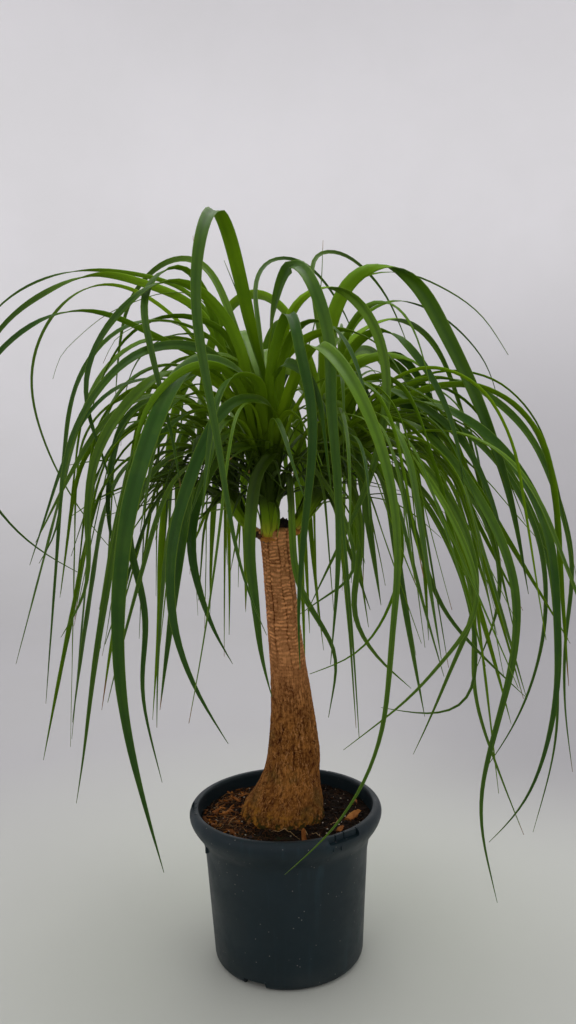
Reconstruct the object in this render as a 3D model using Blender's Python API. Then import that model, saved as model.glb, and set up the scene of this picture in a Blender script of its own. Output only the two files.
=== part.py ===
"""A potted ponytail palm: three leafy heads on one corky trunk, in a nursery pot.

The origin is the centre of the pot's foot, on the floor. +Z is up and -Y is the front.
Lengths in the tables are centimetres for the plant and millimetres for the pot.
"""
import math
import random

import bmesh
import bpy
import numpy as np
from mathutils import Matrix, Vector, kdtree, noise
from mathutils.bvhtree import BVHTree

CM = 0.01
MM = 0.001
CLEARANCE = 0.3

# The pot, in millimetres.
POT_HEIGHT = 183.0
POT_SIDES = 32
WALL = 2.2
FOOT_RADIUS = 78.5
FOOT_CORNER = 9.0
PAD_RADIUS = 26.0
PANEL_RISE = 3.5
FLOOR_TOP = 6.0
WALL_FOOT_RADIUS = 87.7
SKIRT_FOOT_Z = 136.0
WALL_AT_SKIRT = 95.6
WALL_AT_RIM = 100.9
SKIRT_FOOT_RADIUS = 99.0
SKIRT_MIDDLE = 103.6
SKIRT_MIDDLE_Z = 151.0
SKIRT_UPPER = 110.6
SKIRT_UPPER_Z = 165.0
SKIRT_WIDEST = 113.5
SKIRT_WIDEST_Z = 172.5
LIP_OUTER = 110.0
LIP_INNER = 103.4
SLOT_ANGLES = (305.5, 185.5, 65.5)
SLOT_SIZE = (22.0, 9.0)
SLOT_Z = 176.0
SLOT_DEPTH = 14.0
SLOT_RIB = 1.6
NOTCH_ANGLES = (243.0, 3.0, 123.0)
NOTCH_SIZE = (30.0, 9.0)
DRAIN_COUNT = 8
DRAIN_RADIUS = 5.0
DRAIN_RING = 52.0

# The soil, in millimetres.
SOIL_TOP = 168.0
SOIL_BUMP = 3.2
SOIL_RINGS = 9
SOIL_SIDES = POT_SIDES

# The trunk in centimetres: height, diameter, centre x and centre y.
TRUNK = (
    (12.6, 3.0, -0.6, 0.0),
    (13.2, 6.4, -0.6, 0.0),
    (14.6, 9.0, -0.6, 0.0),
    (16.4, 10.2, -0.5, 0.0),
    (17.7, 9.8, -0.4, 0.0),
    (19.0, 8.8, 0.0, 0.0),
    (20.7, 7.5, 0.5, 0.0),
    (22.2, 6.65, 0.8, 0.0),
    (23.8, 6.2, 1.05, 0.0),
    (27.2, 5.5, 1.1, 0.0),
    (33.9, 4.4, 0.85, 0.0),
    (40.6, 3.8, 0.3, 0.0),
    (47.0, 3.45, -0.15, 0.0),
    (49.6, 3.4, -0.35, 0.0),
    (50.3, 3.2, -0.4, 0.0),
    (50.6, 2.6, -0.4, 0.0),
)
TRUNK_SIDES = 20
TRUNK_STEP = 1.15
BARK_RIDGE = 0.045

# Each head's short stem in centimetres: the points it runs through, and its radius at
# its foot and its top.
FRONT = "head_front"
RIGHT = "head_right"
LEFT = "head_left"
STEMS = {
    FRONT: (((-0.95, -0.75, 49.2), (-0.95, -0.95, 51.5), (-0.8, -1.0, 55), (-0.7, -1.0, 58.5)), 1.05, 1.0),
    RIGHT: (((0.7, 1.05, 49.6), (2.4, 1.3, 51.2), (4.6, 2.1, 55), (6.6, 2.9, 60)), 0.8, 0.9),
    LEFT: (((-1.75, 1.0, 49.8), (-3.9, 2.8, 51.3), (-5.3, 4.1, 54), (-5.8, 4.8, 57.5)), 0.6, 0.7),
}
STEM_SIDES = 10

# The leaves that shape the plant's outline: head, widest width in millimetres, how high up
# the head's stem it starts (0 to 1), and the points it passes through in centimetres.
LEAVES = (
    (FRONT, 17, 0.7, (-2, -2, 70), (-4, -7, 82), (-5, -11, 85), (-6, -15, 83), (-7, -18, 75),
     (-5, -22, 62), (-3, -24, 49), (-1, -24, 44)),
    (FRONT, 9, 0.6, (-6, -2, 74), (-8, -4, 79), (-10, -7, 80), (-13, -9, 77), (-12, -12, 70),
     (-10, -14, 62), (-9, -15, 55)),
    (FRONT, 8, 0.8, (-5, 3, 76), (-8, 6, 82), (-13, 10, 83), (-18, 13, 79), (-20, 15, 73), (-21, 16, 66)),
    (FRONT, 9, 0.7, (-8, 1, 76), (-14, 3, 79), (-20, 5, 81), (-27, 6, 79), (-33, 7, 75), (-37, 8, 68),
     (-39, 8, 60)),
    (FRONT, 5, 0.8, (-9, 5, 78), (-16, 7, 81), (-23, 9, 82), (-29, 10, 81), (-35, 10, 77), (-38, 10, 71)),
    (FRONT, 4, 0.6, (-9, 1, 73), (-16, 4, 79), (-22, 7, 80), (-28, 10, 76), (-31, 12, 69), (-29, 13, 59),
     (-25, 14, 51), (-21, 14, 46)),
    (FRONT, 6, 0.6, (-7, -4, 70), (-12, -6, 72), (-17, -8, 75), (-22, -9, 75), (-28, -10, 71),
     (-32, -10, 64), (-30, -11, 57), (-25, -12, 51), (-20, -12, 48)),
    (FRONT, 13, 0.7, (-4, -4, 72), (-7, -6, 77), (-11, -8, 78), (-15, -10, 75), (-18, -11, 71),
     (-19, -12, 66), (-17, -12, 59), (-16, -12, 54)),
    (FRONT, 11, 0.5, (-5, -6, 69), (-8, -8, 71), (-12, -11, 71), (-16, -14, 68), (-20, -16, 61),
     (-21, -17, 53), (-23, -17, 50)),
    (FRONT, 11, 0.6, (-5, -5, 67), (-8, -7, 69), (-12, -10, 68), (-15, -12, 65), (-18, -13, 60),
     (-19, -13, 54), (-19, -14, 47), (-22, -14, 42)),
    (FRONT, 17, 0.5, (-3, -6, 68), (-7, -10, 70), (-10, -14, 67), (-13, -18, 59), (-15, -20, 46),
     (-15, -20, 37), (-14, -19, 29), (-12, -18, 19)),
    (LEFT, 9, 0.9, (-10, 2, 66), (-16, 0, 65), (-19, -2, 57), (-19, -2, 52), (-18, -2, 46)),
    (FRONT, 9, 0.4, (-4, -7, 68), (-8, -12, 69), (-11, -15, 66), (-13, -17, 61), (-13, -18, 56)),
    (FRONT, 10, 0.4, (-5, -3, 66), (-9, -4, 67), (-14, -5, 62), (-17, -5, 54), (-19, -5, 45), (-21, -4, 36),
     (-23, -3, 25), (-24, -3, 20)),
    (FRONT, 9, 0.3, (-4, -3, 63), (-8, -5, 65), (-13, -7, 61), (-16, -8, 53), (-14, -9, 43), (-15, -9, 35),
     (-13, -10, 25)),
    (FRONT, 13, 0.4, (-2, -5, 65), (-4, -9, 66), (-7, -13, 61), (-10, -17, 52), (-10, -19, 44),
     (-8, -20, 38), (-5, -21, 33)),
    (FRONT, 12, 0.1, (-2.5, -3, 60), (-5, -5, 61), (-8, -8, 56), (-9, -10, 50), (-7, -11, 42), (-5, -11, 38)),
    (FRONT, 13, 0.2, (-1, -3, 60), (-2, -6, 58), (-3, -8, 50), (-2.5, -9, 44), (-2, -9, 38), (-1, -10, 34)),
    (FRONT, 13, 0.9, (0, -3, 73), (1, -5, 78), (2, -8, 80), (4, -11, 78), (5, -14, 68), (6, -15, 57),
     (6, -16, 49), (5, -16, 39)),
    (FRONT, 11, 0.7, (0, -4, 67), (1, -7, 73), (2, -10, 75), (3, -12, 72), (4, -14, 63), (3, -14, 54),
     (2, -14, 45), (2, -14, 38)),
    (FRONT, 11, 0.8, (1, -1, 73), (3, -2, 77), (7, -4, 78), (11, -6, 73), (12, -8, 66), (10, -9, 57),
     (6, -9, 49), (3, -9, 43)),
    (RIGHT, 17, 0.9, (6, 1, 71), (8, 1, 78), (11, 1, 81), (15, 0, 80), (19, -1, 73), (23, -2, 64),
     (26, -3, 54), (28, -3, 43)),
    (FRONT, 15, 0.8, (1, -5, 65), (3, -10, 70), (5, -14, 71), (7, -18, 68), (10, -22, 60), (11, -24, 52),
     (10, -25, 43), (9, -25, 34), (5, -24, 26), (0, -23, 21)),
    (RIGHT, 14, 0.4, (6, -1, 66), (7, -3, 64), (9, -5, 59), (10, -6, 51), (11, -7, 43)),
    (FRONT, 5, 0.9, (-1.5, 3, 73), (-2, 7, 80), (0, 10, 83), (4, 13, 83), (8, 16, 79), (11, 18, 72)),
    (RIGHT, 5, 0.8, (5, 6, 77), (5, 9, 83), (8, 12, 84), (11, 15, 83), (15, 18, 79), (18, 19, 72)),
    (RIGHT, 4, 0.8, (7, 3, 76), (11, 5, 80), (16, 5, 80), (20, 4, 78), (24, 3, 75), (27, 2, 70)),
    (RIGHT, 6, 0.8, (9, 8, 74), (13, 10, 77), (16, 13, 78), (22, 16, 76), (28, 18, 70), (30, 19, 64)),
    (RIGHT, 9, 0.6, (13, 0, 66), (19, 0, 68), (25, 0, 65), (29, 0, 61), (32, 0, 54), (34, 0, 46),
     (33, 0, 37), (33, 0, 29), (34, 0, 21)),
    (RIGHT, 11, 0.5, (12, -2, 65), (19, -5, 64), (25, -6, 59), (29, -7, 51), (30, -7, 41), (30, -7, 32),
     (27, -6, 20), (23, -5, 15)),
    (RIGHT, 7, 0.6, (14, 5, 66), (22, 7, 64), (29, 9, 56), (34, 10, 45), (35, 10, 32), (35, 10, 21),
     (32, 10, 9)),
    (RIGHT, 7, 0.4, (13, 2, 64), (20, 3, 63), (26, 4, 58), (31, 4, 49), (32, 4, 40), (31, 4, 33),
     (28, 3, 26), (24, 3, 20)),
    (RIGHT, 10, 0.3, (11, -1, 64), (16, -4, 62), (22, -7, 54), (25, -9, 46), (25, -9, 38), (23, -9, 30),
     (21, -9, 21), (23, -9, 10)),
    (RIGHT, 9, 0.5, (10, -1, 67), (15, -3, 65), (20, -5, 61), (23, -7, 54), (25, -8, 44)),
    (RIGHT, 14, 0.6, (9, 3, 67), (14, 4, 66), (19, 4, 60), (24, 4, 53), (26, 4, 47)),
    (RIGHT, 12, 0.7, (9, 5, 70), (13, 7, 71), (18, 10, 66), (22, 12, 59), (24, 13, 52)),
    (RIGHT, 10, 0.7, (8, 0, 70), (12, -3, 73), (16, -5, 69), (19, -7, 62), (20, -8, 54)),
    (RIGHT, 8, 0.2, (10, 0, 61), (16, -5, 58), (20, -8, 51), (21, -9, 44), (18, -9, 36), (15, -9, 29),
     (14, -9, 27)),
    (RIGHT, 6, 0.3, (10, -3, 62), (15, -9, 58), (19, -13, 50), (20, -15, 44), (16, -16, 39), (13, -17, 36),
     (6, -18, 31)),
    (RIGHT, 9, 0.3, (12, 5, 61), (18, 6, 59), (26, 9, 50), (28, 11, 40), (25, 12, 30)),
    (RIGHT, 6, 0.2, (9, 0, 60), (13, -3, 58), (15, -4, 51), (18, -5, 42), (22, -6, 37), (27, -6, 32)),
    (RIGHT, 6, 0.1, (10, 2, 58), (15, 2, 57), (20, 3, 50), (23, 3, 42), (23, 3, 30), (26, 3, 20),
     (29, 3, 12)),
    (RIGHT, 6, 0.2, (10, 1, 59), (15, 0, 56), (20, -2, 47), (22, -3, 38), (21, -4, 31), (17, -5, 30),
     (11, -5, 31)),
    (RIGHT, 8, 0.1, (6, -1, 59), (8, -4, 57), (9, -6, 50), (8, -7, 42), (10, -8, 38), (14, -8, 34)),
    (FRONT, 7, 0.1, (1, -3, 58), (1.5, -6, 56), (2, -8, 46), (4, -8, 42), (6, -8, 38), (5, -8, 31)),
    (FRONT, 5, 0.2, (1.5, -4, 59), (4, -7, 58), (7, -9, 53), (8, -10, 47), (5, -11, 45), (2, -11, 43)),
    (RIGHT, 4, 0.2, (7, -4, 61), (11, -9, 58), (13, -11, 50), (11, -12, 43), (8, -12, 39), (3, -12, 37)),
)

# The leaves whose ends the front view hides are drawn by a rule. Each row gives the head, how
# many, the headings they spread over, the first rise in degrees, the length in centimetres,
# the widest width in millimetres, and where they turn over as a share of the length.
DRAWN = (
    (FRONT, 9, (75, 200), (66, 78), (56, 78), (10, 16), (0.14, 0.26)),
    (FRONT, 9, (150, 400), (76, 88), (28, 42), (11, 16), (0.26, 0.40)),
    (FRONT, 9, (60, 250), (30, 62), (34, 58), (8, 13), (0.10, 0.24)),
    (FRONT, 9, (170, 400), (15, 50), (18, 34), (3, 6), (0.10, 0.26)),
    (RIGHT, 10, (0, 130), (62, 78), (54, 76), (10, 16), (0.14, 0.26)),
    (RIGHT, 7, (-80, 140), (74, 86), (28, 42), (10, 14), (0.26, 0.38)),
    (RIGHT, 9, (-30, 120), (28, 60), (34, 58), (9, 14), (0.10, 0.24)),
    (RIGHT, 9, (-90, 130), (10, 46), (18, 34), (3, 6), (0.10, 0.26)),
    (LEFT, 8, (70, 210), (58, 80), (42, 66), (7, 12), (0.14, 0.30)),
    (LEFT, 8, (90, 250), (10, 50), (20, 40), (3, 7), (0.10, 0.26)),
)
DRAW_SEED = 45
# Drawn leaves that the plant has no room for: they would hide its bare trunk or widen its outline.
LEFT_OUT = (81, 83, 88, 124)
GOLDEN = 0.618034

SAMPLES = 61
SEGMENT_LENGTH = 8.8
SEGMENTS_MOST = 10
SEGMENTS_LEAST = 5
TIP_HALF = 0.06
KEEL = 0.12
KEEL_SHARE = 0.10
ROOT_FIXED = 4.0
ROOT_FREE = 13.0
CLEAR_GAP = 0.36
CLEAR_ROUNDS = 48
TWIST = 85.0
HANGS = (-86, -66)
FACING_SHARE = 0.62


def catmull_rom(points, count):
    """A smooth run of count points through the given ones, evenly spaced along its length."""
    pts = [np.array(p, float) for p in points]
    pts = [2 * pts[0] - pts[1]] + pts + [2 * pts[-1] - pts[-2]]
    fine = []
    for a, b, c, d in zip(pts, pts[1:], pts[2:], pts[3:]):
        steps = 24
        t1 = np.linalg.norm(b - a) ** 0.5
        t2 = t1 + np.linalg.norm(c - b) ** 0.5
        t3 = t2 + np.linalg.norm(d - c) ** 0.5
        for i in range(steps):
            t = t1 + (t2 - t1) * i / steps
            ab = (t1 - t) / t1 * a + t / t1 * b
            bc = (t2 - t) / (t2 - t1) * b + (t - t1) / (t2 - t1) * c
            cd = (t3 - t) / (t3 - t2) * c + (t - t2) / (t3 - t2) * d
            abc = (t2 - t) / t2 * ab + t / t2 * bc
            bcd = (t3 - t) / (t3 - t1) * bc + (t - t1) / (t3 - t1) * cd
            fine.append((t2 - t) / (t2 - t1) * abc + (t - t1) / (t2 - t1) * bcd)
    fine.append(pts[-2])
    return evenly(np.array(fine), count)


def distances(line):
    """How far along the line each of its points is."""
    return np.concatenate([[0], np.cumsum(np.linalg.norm(np.diff(line, axis=0), axis=1))])


def evenly(line, count):
    """The same line with count points evenly spaced along it."""
    along = distances(line)
    where = np.linspace(0, along[-1], count)
    return np.stack([np.interp(where, along, line[:, k]) for k in range(3)], axis=1)


def stem_line(head, count=25):
    return catmull_rom(STEMS[head][0], count)


def stem_point(head, share):
    line = stem_line(head)
    at = (0.3 + 0.7 * share) * (len(line) - 1)
    low = int(at)
    high = min(low + 1, len(line) - 1)
    return line[low] + (line[high] - line[low]) * (at - low)


def smooth_step(x):
    x = min(max(x, 0.0), 1.0)
    return x * x * (3 - 2 * x)


def drawn_route(rng, head, heading, rise, length, turn):
    """A leaf that climbs at the given rise, turns over and hangs."""
    root = stem_point(head, rng.uniform(0.2, 1.0))
    drift = rng.uniform(-28, 28)
    hang = rng.uniform(*HANGS)
    steps = 24
    points = [root]
    for i in range(1, steps + 1):
        share = i / steps
        slope = math.radians(rise + (hang - rise) * smooth_step((share - turn * 0.5) / (turn * 1.5 + 0.22)))
        way = math.radians(heading + drift * share * share)
        step = length / steps
        flat = math.cos(slope) * step
        points.append(points[-1] + np.array([math.cos(way) * flat, math.sin(way) * flat, math.sin(slope) * step]))
    return points[::3]


def drawn_leaves(rng, rows):
    """The leaves of the rule's rows, each as head, half width in cm, midline and twist."""
    leaves = []
    for head, count, headings, rises, lengths, widths, turns in rows:
        for i in range(count):
            spread = (i * GOLDEN + rng.uniform(0, 0.12)) % 1.0
            heading = headings[0] + (headings[1] - headings[0]) * spread
            shape = [rng.uniform(*pair) for pair in (rises, lengths, turns)]
            points = drawn_route(rng, head, heading, *shape)
            width = rng.uniform(*widths)
            leaves.append((head, width * 0.05, catmull_rom(points, SAMPLES), rng.uniform(-TWIST, TWIST)))
    return leaves


def placed_leaves(rows):
    """The leaves of a table's rows, each as head, half width in cm, midline and no twist yet."""
    leaves = []
    for head, width, start, *route in rows:
        root = stem_point(head, start)
        lead = stem_point(head, 1.0)
        points = [root] + [np.array(p, float) for p in route]
        if start < 0.95 and route[0][2] > lead[2] + 5:
            out = points[1] - lead
            points.insert(1, lead + out / np.linalg.norm(out) * 1.5)
        leaves.append((head, width * 0.05, catmull_rom(points, SAMPLES), None))
    return leaves


def all_leaves():
    """Every leaf as its head, half width in cm, midline and twist in degrees."""
    return placed_leaves(LEAVES) + drawn_leaves(random.Random(DRAW_SEED), DRAWN)


def width_profile(share):
    """The width along a leaf as a share of its widest."""
    return np.interp(share, [0, 0.12, 0.35, 0.6, 0.85, 1.0], [0.92, 0.84, 1.0, 0.86, 0.46, 0.1])


def unit(v):
    return v / np.maximum(np.linalg.norm(v, axis=-1, keepdims=True), 1e-9)


def across_vectors(lines, twists):
    """The direction across each blade at each sample, carried along without spin."""
    tangents = unit(np.gradient(lines, axis=1))
    outward = lines[:, 12] - lines[:, 0]
    outward[:, 2] = 0
    face = np.array([0, 0, 0.25]) - unit(outward)
    face = unit(face - (face * tangents[:, 0]).sum(-1, keepdims=True) * tangents[:, 0])
    faces = [face]
    for k in range(1, lines.shape[1]):
        step = tangents[:, k]
        face = unit(face - (face * step).sum(-1, keepdims=True) * step)
        faces.append(face)
    faces = np.stack(faces, axis=1)
    share = np.linspace(0, 1, lines.shape[1])
    turn = np.radians(twists)[:, None] * (share * share * (3 - 2 * share))[None, :]
    side = np.cross(tangents, faces)
    across = side * np.cos(turn)[..., None] + faces * np.sin(turn)[..., None]
    return tangents, unit(across)


def turn_to_front(lines, twists):
    """The twist in degrees that turns each leaf without one of its own towards the front."""
    place = int(FACING_SHARE * SAMPLES)
    tangents, across = across_vectors(lines, np.zeros(len(lines)))
    result = []
    for ahead, side, twist in zip(tangents[:, place], across[:, place], twists):
        if twist is None:
            wanted = np.array([1.0, 0, 0])
            wanted = unit(wanted - wanted @ ahead * ahead)
            face = np.cross(side, ahead)
            angle = math.degrees(math.atan2(wanted @ face, wanted @ side))
            angle = (angle + 90) % 180 - 90
            eased = FACING_SHARE * FACING_SHARE * (3 - 2 * FACING_SHARE)
            twist = angle * 0.9 / eased
        result.append(twist)
    return np.array(result)


def trunk_radius(z):
    heights = [row[0] for row in TRUNK]
    return np.interp(z, heights, [row[1] / 2 for row in TRUNK], left=0, right=0)


def trunk_centre(z):
    heights = [row[0] for row in TRUNK]
    return np.interp(z, heights, [row[2] for row in TRUNK])


def near_pairs(lines, reach):
    """Pairs of samples on different leaves that are closer together than reach."""
    leaf_count, samples, _ = lines.shape
    tree = kdtree.KDTree(leaf_count * samples)
    flat = lines.reshape(-1, 3)
    for index, point in enumerate(flat):
        tree.insert(point, index)
    tree.balance()
    first = []
    second = []
    for index, point in enumerate(flat):
        leaf = index // samples
        for _, other, _ in tree.find_range(point, reach):
            if other // samples > leaf:
                first.append(index)
                second.append(other)
    return np.array(first), np.array(second)


def keep_off_solids(flat, half, owner_head):
    """Moves points out of the trunk, the pot, the floor and the other heads' stems."""
    radius = trunk_radius(flat[:, 2])
    away = flat[:, :2] - np.stack([trunk_centre(flat[:, 2]), np.zeros(len(flat))], axis=1)
    far = np.linalg.norm(away, axis=1)
    lack = np.where((flat[:, 2] < 51.5) & (radius > 0), radius + half + 0.5 - far, 0).clip(0, 3)
    move = np.zeros_like(flat)
    move[:, :2] += away / np.maximum(far, 1e-6)[:, None] * lack[:, None]
    far = np.linalg.norm(flat[:, :2], axis=1)
    lack = np.where(flat[:, 2] < POT_HEIGHT / 10 + 1.2, SKIRT_WIDEST / 10 + half + 0.5 - far, 0).clip(0, 3)
    move[:, :2] += flat[:, :2] / np.maximum(far, 1e-6)[:, None] * lack[:, None]
    move[:, 2] += (1.5 - flat[:, 2]).clip(0, 3)
    for head, (_, foot, top) in STEMS.items():
        foreign = owner_head != head
        for point in stem_line(head, 10):
            gap = flat - point
            far = np.linalg.norm(gap, axis=1)
            lack = np.where(foreign, max(foot, top) + half + 0.35 - far, 0).clip(0, 1)
            move += gap / np.maximum(far, 1e-6)[:, None] * lack[:, None]
    return move


def eased_move(lines, push, freedom):
    """Moves the lines by a smoothed push and relaxes them a little."""
    samples = lines.shape[1]
    kernel = np.hanning(13)[1:-1]
    kernel = kernel / kernel.sum()
    padded = np.pad(push, ((0, 0), (5, 5), (0, 0)), mode="edge")
    soft = sum(kernel[k] * padded[:, k:k + samples] for k in range(len(kernel)))
    lines = lines + (soft * 1.5 + push * 0.15) * freedom[..., None]
    padded = np.pad(lines, ((0, 0), (1, 1), (0, 0)), mode="reflect", reflect_type="odd")
    relaxed = (padded[:, :-2] + padded[:, 2:]) / 2
    return lines + (relaxed - lines) * 0.12 * freedom[..., None]


def root_freedom(lines):
    """How far each sample may move: nothing at a leaf's root, freely further out."""
    lengths = np.linalg.norm(np.diff(lines, axis=1), axis=2).sum(axis=1)
    along = np.linspace(0, 1, lines.shape[1])[None, :] * lengths[:, None]
    return ((along - ROOT_FIXED) / (ROOT_FREE - ROOT_FIXED)).clip(0, 1)


def bend_clear(lines, halves, twists, heads):
    """Bends the leaves apart where their blades would meet; the roots stay where they are."""
    count, samples, _ = lines.shape
    freedom = root_freedom(lines)
    head_of = np.repeat(np.array(heads), samples)
    half = (halves[:, None] * width_profile(np.linspace(0, 1, samples))[None, :]).reshape(-1)
    free = freedom.reshape(-1)
    for turn in range(CLEAR_ROUNDS):
        if turn % 6 == 0:
            first, second = near_pairs(lines, 3.4)
            other_head = head_of[first] != head_of[second]
            useful = other_head | ((free[first] > 0.3) & (free[second] > 0.3))
            first = first[useful]
            second = second[useful]
            other_head = other_head[useful]
        tangents, across = across_vectors(lines, twists)
        flat = lines.reshape(-1, 3)
        tan = tangents.reshape(-1, 3)
        side = across.reshape(-1, 3)
        gap = flat[second] - flat[first]
        normal = np.cross(tan[first], tan[second])
        crossing = np.linalg.norm(normal, axis=1)
        mean = unit(tan[first] + tan[second] * np.sign((tan[first] * tan[second]).sum(-1, keepdims=True)))
        beside = unit(gap - (gap * mean).sum(-1, keepdims=True) * mean)
        normal = np.where((crossing > 0.35)[:, None], unit(normal), beside)
        apart = (gap * normal).sum(-1)
        normal = normal * np.where(apart < 0, -1.0, 1.0)[:, None]
        apart = np.abs(apart)
        in_plane = np.linalg.norm(gap - apart[:, None] * normal, axis=1)
        reach_in_plane = np.where(crossing > 0.35, half[first] + half[second] + 0.5, 0.9)
        need = half[first] * np.abs((side[first] * normal).sum(-1))
        need = need + half[second] * np.abs((side[second] * normal).sum(-1))
        need = need + np.where(other_head, CLEAR_GAP, 0.12)
        lack = np.where(in_plane < reach_in_plane, need - apart, 0).clip(0, 1.2)
        share_first = free[first] / np.maximum(free[first] + free[second], 1e-6)
        push = np.zeros_like(flat)
        hits = np.zeros(len(flat))
        np.add.at(push, first, -normal * (lack * share_first)[:, None])
        np.add.at(push, second, normal * (lack * (1 - share_first))[:, None])
        np.add.at(hits, first, lack > 0)
        np.add.at(hits, second, lack > 0)
        push = push / np.maximum(hits, 1)[:, None]
        push += keep_off_solids(flat, half, head_of)
        lines = eased_move(lines, push.reshape(count, samples, 3), freedom)
    return lines


def ring_places(line):
    """Sample numbers for a leaf's rings, closer together where it bends more."""
    bend = np.linalg.norm(np.diff(line, 2, axis=0), axis=1)
    bend = np.concatenate([[bend[0]], bend, [bend[-1]]])
    bend = np.convolve(np.pad(bend, 3, mode="edge"), np.ones(7) / 7, mode="valid")
    weight = np.sqrt(bend + 0.02)
    total = np.concatenate([[0], np.cumsum((weight[1:] + weight[:-1]) / 2)])
    length = np.linalg.norm(np.diff(line, axis=0), axis=1).sum()
    count = min(max(round(length / SEGMENT_LENGTH) + 2, SEGMENTS_LEAST), SEGMENTS_MOST)
    return np.interp(np.linspace(0, total[-1], count + 1), total, np.arange(len(line)))


def leaf_mesh(name, line, half, across):
    """A keeled blade: two edges above and a keel below, closed at both ends."""
    places = ring_places(line)
    numbers = np.arange(len(line))
    profile = width_profile(np.linspace(0, 1, SAMPLES))
    rings = []
    for place in places:
        centre = np.array([np.interp(place, numbers, line[:, k]) for k in range(3)])
        side = unit(np.array([np.interp(place, numbers, across[:, k]) for k in range(3)]))
        low = min(int(place), len(line) - 2)
        ahead = unit(line[low + 1] - line[low])
        down = unit(np.cross(side, ahead)) * -1
        wide = max(half * float(np.interp(place, numbers, profile)), TIP_HALF)
        keel = KEEL + KEEL_SHARE * wide
        rings.append((centre - side * wide, centre + side * wide, centre + down * keel))
    verts = [tuple(np.array(v) * CM) for ring in rings for v in ring]
    faces = [(0, 2, 1)]
    for i in range(len(rings) - 1):
        l0, r0, k0 = 3 * i, 3 * i + 1, 3 * i + 2
        l1, r1, k1 = l0 + 3, r0 + 3, k0 + 3
        faces += [(l0, r0, r1), (l0, r1, l1), (l0, l1, k1), (l0, k1, k0), (r0, k0, k1), (r0, k1, r1)]
    last = 3 * (len(rings) - 1)
    faces.append((last, last + 1, last + 2))
    mesh = bpy.data.meshes.new(name)
    mesh.from_pydata(verts, [], faces)
    mesh.update()
    return mesh


def new_object(name, mesh, material=None):
    obj = bpy.data.objects.new(name, mesh)
    bpy.context.scene.collection.objects.link(obj)
    if material:
        mesh.materials.append(material)
    return obj


def new_material(name, colour, roughness, metallic=0.0):
    material = bpy.data.materials.new(name)
    material.use_nodes = True
    shader = material.node_tree.nodes["Principled BSDF"]
    shader.inputs["Base Color"].default_value = (*colour, 1.0)
    shader.inputs["Roughness"].default_value = roughness
    shader.inputs["Metallic"].default_value = metallic
    return material


def mesh_from_bmesh(name, bm):
    bmesh.ops.recalc_face_normals(bm, faces=bm.faces)
    mesh = bpy.data.meshes.new(name)
    bm.to_mesh(mesh)
    bm.free()
    return mesh


def lathe(name, profile, sides):
    """A closed solid of revolution; a profile point with zero radius is a pole."""
    bm = bmesh.new()
    rings = []
    for radius, height in profile:
        if radius == 0:
            rings.append([bm.verts.new((0, 0, height * MM))])
            continue
        ring = []
        for i in range(sides):
            angle = 2 * math.pi * i / sides
            ring.append(bm.verts.new(Vector((radius * math.cos(angle), radius * math.sin(angle), height)) * MM))
        rings.append(ring)
    join_rings(bm, rings)
    return mesh_from_bmesh(name, bm)


def join_rings(bm, rings):
    for low, high in zip(rings, rings[1:]):
        count = max(len(low), len(high))
        for i in range(count):
            j = (i + 1) % count
            corners = [low[i % len(low)], low[j % len(low)], high[j % len(high)], high[i % len(high)]]
            kept = []
            for corner in corners:
                if corner not in kept:
                    kept.append(corner)
            bm.faces.new(kept)


def apply_boolean(obj, operation, others, solver="EXACT"):
    """One Boolean with all the others as a collection, applied; the others are removed."""
    group = bpy.data.collections.new("operands")
    bpy.context.scene.collection.children.link(group)
    for other in others:
        bpy.context.scene.collection.objects.unlink(other)
        group.objects.link(other)
    cut = obj.modifiers.new("boolean", "BOOLEAN")
    cut.operation = operation
    cut.operand_type = "COLLECTION"
    cut.collection = group
    cut.solver = solver
    depsgraph = bpy.context.evaluated_depsgraph_get()
    result = bpy.data.meshes.new_from_object(obj.evaluated_get(depsgraph))
    obj.modifiers.clear()
    obj.data = result
    for other in others:
        bpy.data.objects.remove(other)
    bpy.data.collections.remove(group)


def block(name, size, place, angle):
    """A box for a cut: its size, its centre and its turn about Z, in millimetres and degrees."""
    bm = bmesh.new()
    bmesh.ops.create_cube(bm, size=1.0)
    bmesh.ops.scale(bm, vec=Vector(size) * MM, verts=bm.verts)
    turn = Matrix.Rotation(math.radians(angle), 4, "Z")
    bmesh.ops.transform(bm, matrix=turn @ Matrix.Translation(Vector(place) * MM), verts=bm.verts)
    return new_object(name, mesh_from_bmesh(name, bm))


def peg(name, radius, low, high, ring, angle, sides=12):
    """An upright round cutter on a ring about the pot's axis."""
    bm = bmesh.new()
    bmesh.ops.create_cone(
        bm, cap_ends=True, segments=sides, radius1=radius * MM, radius2=radius * MM, depth=(high - low) * MM
    )
    centre = (ring * math.cos(math.radians(angle)), ring * math.sin(math.radians(angle)), (low + high) / 2)
    bmesh.ops.translate(bm, vec=Vector(centre) * MM, verts=bm.verts)
    return new_object(name, mesh_from_bmesh(name, bm))


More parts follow.
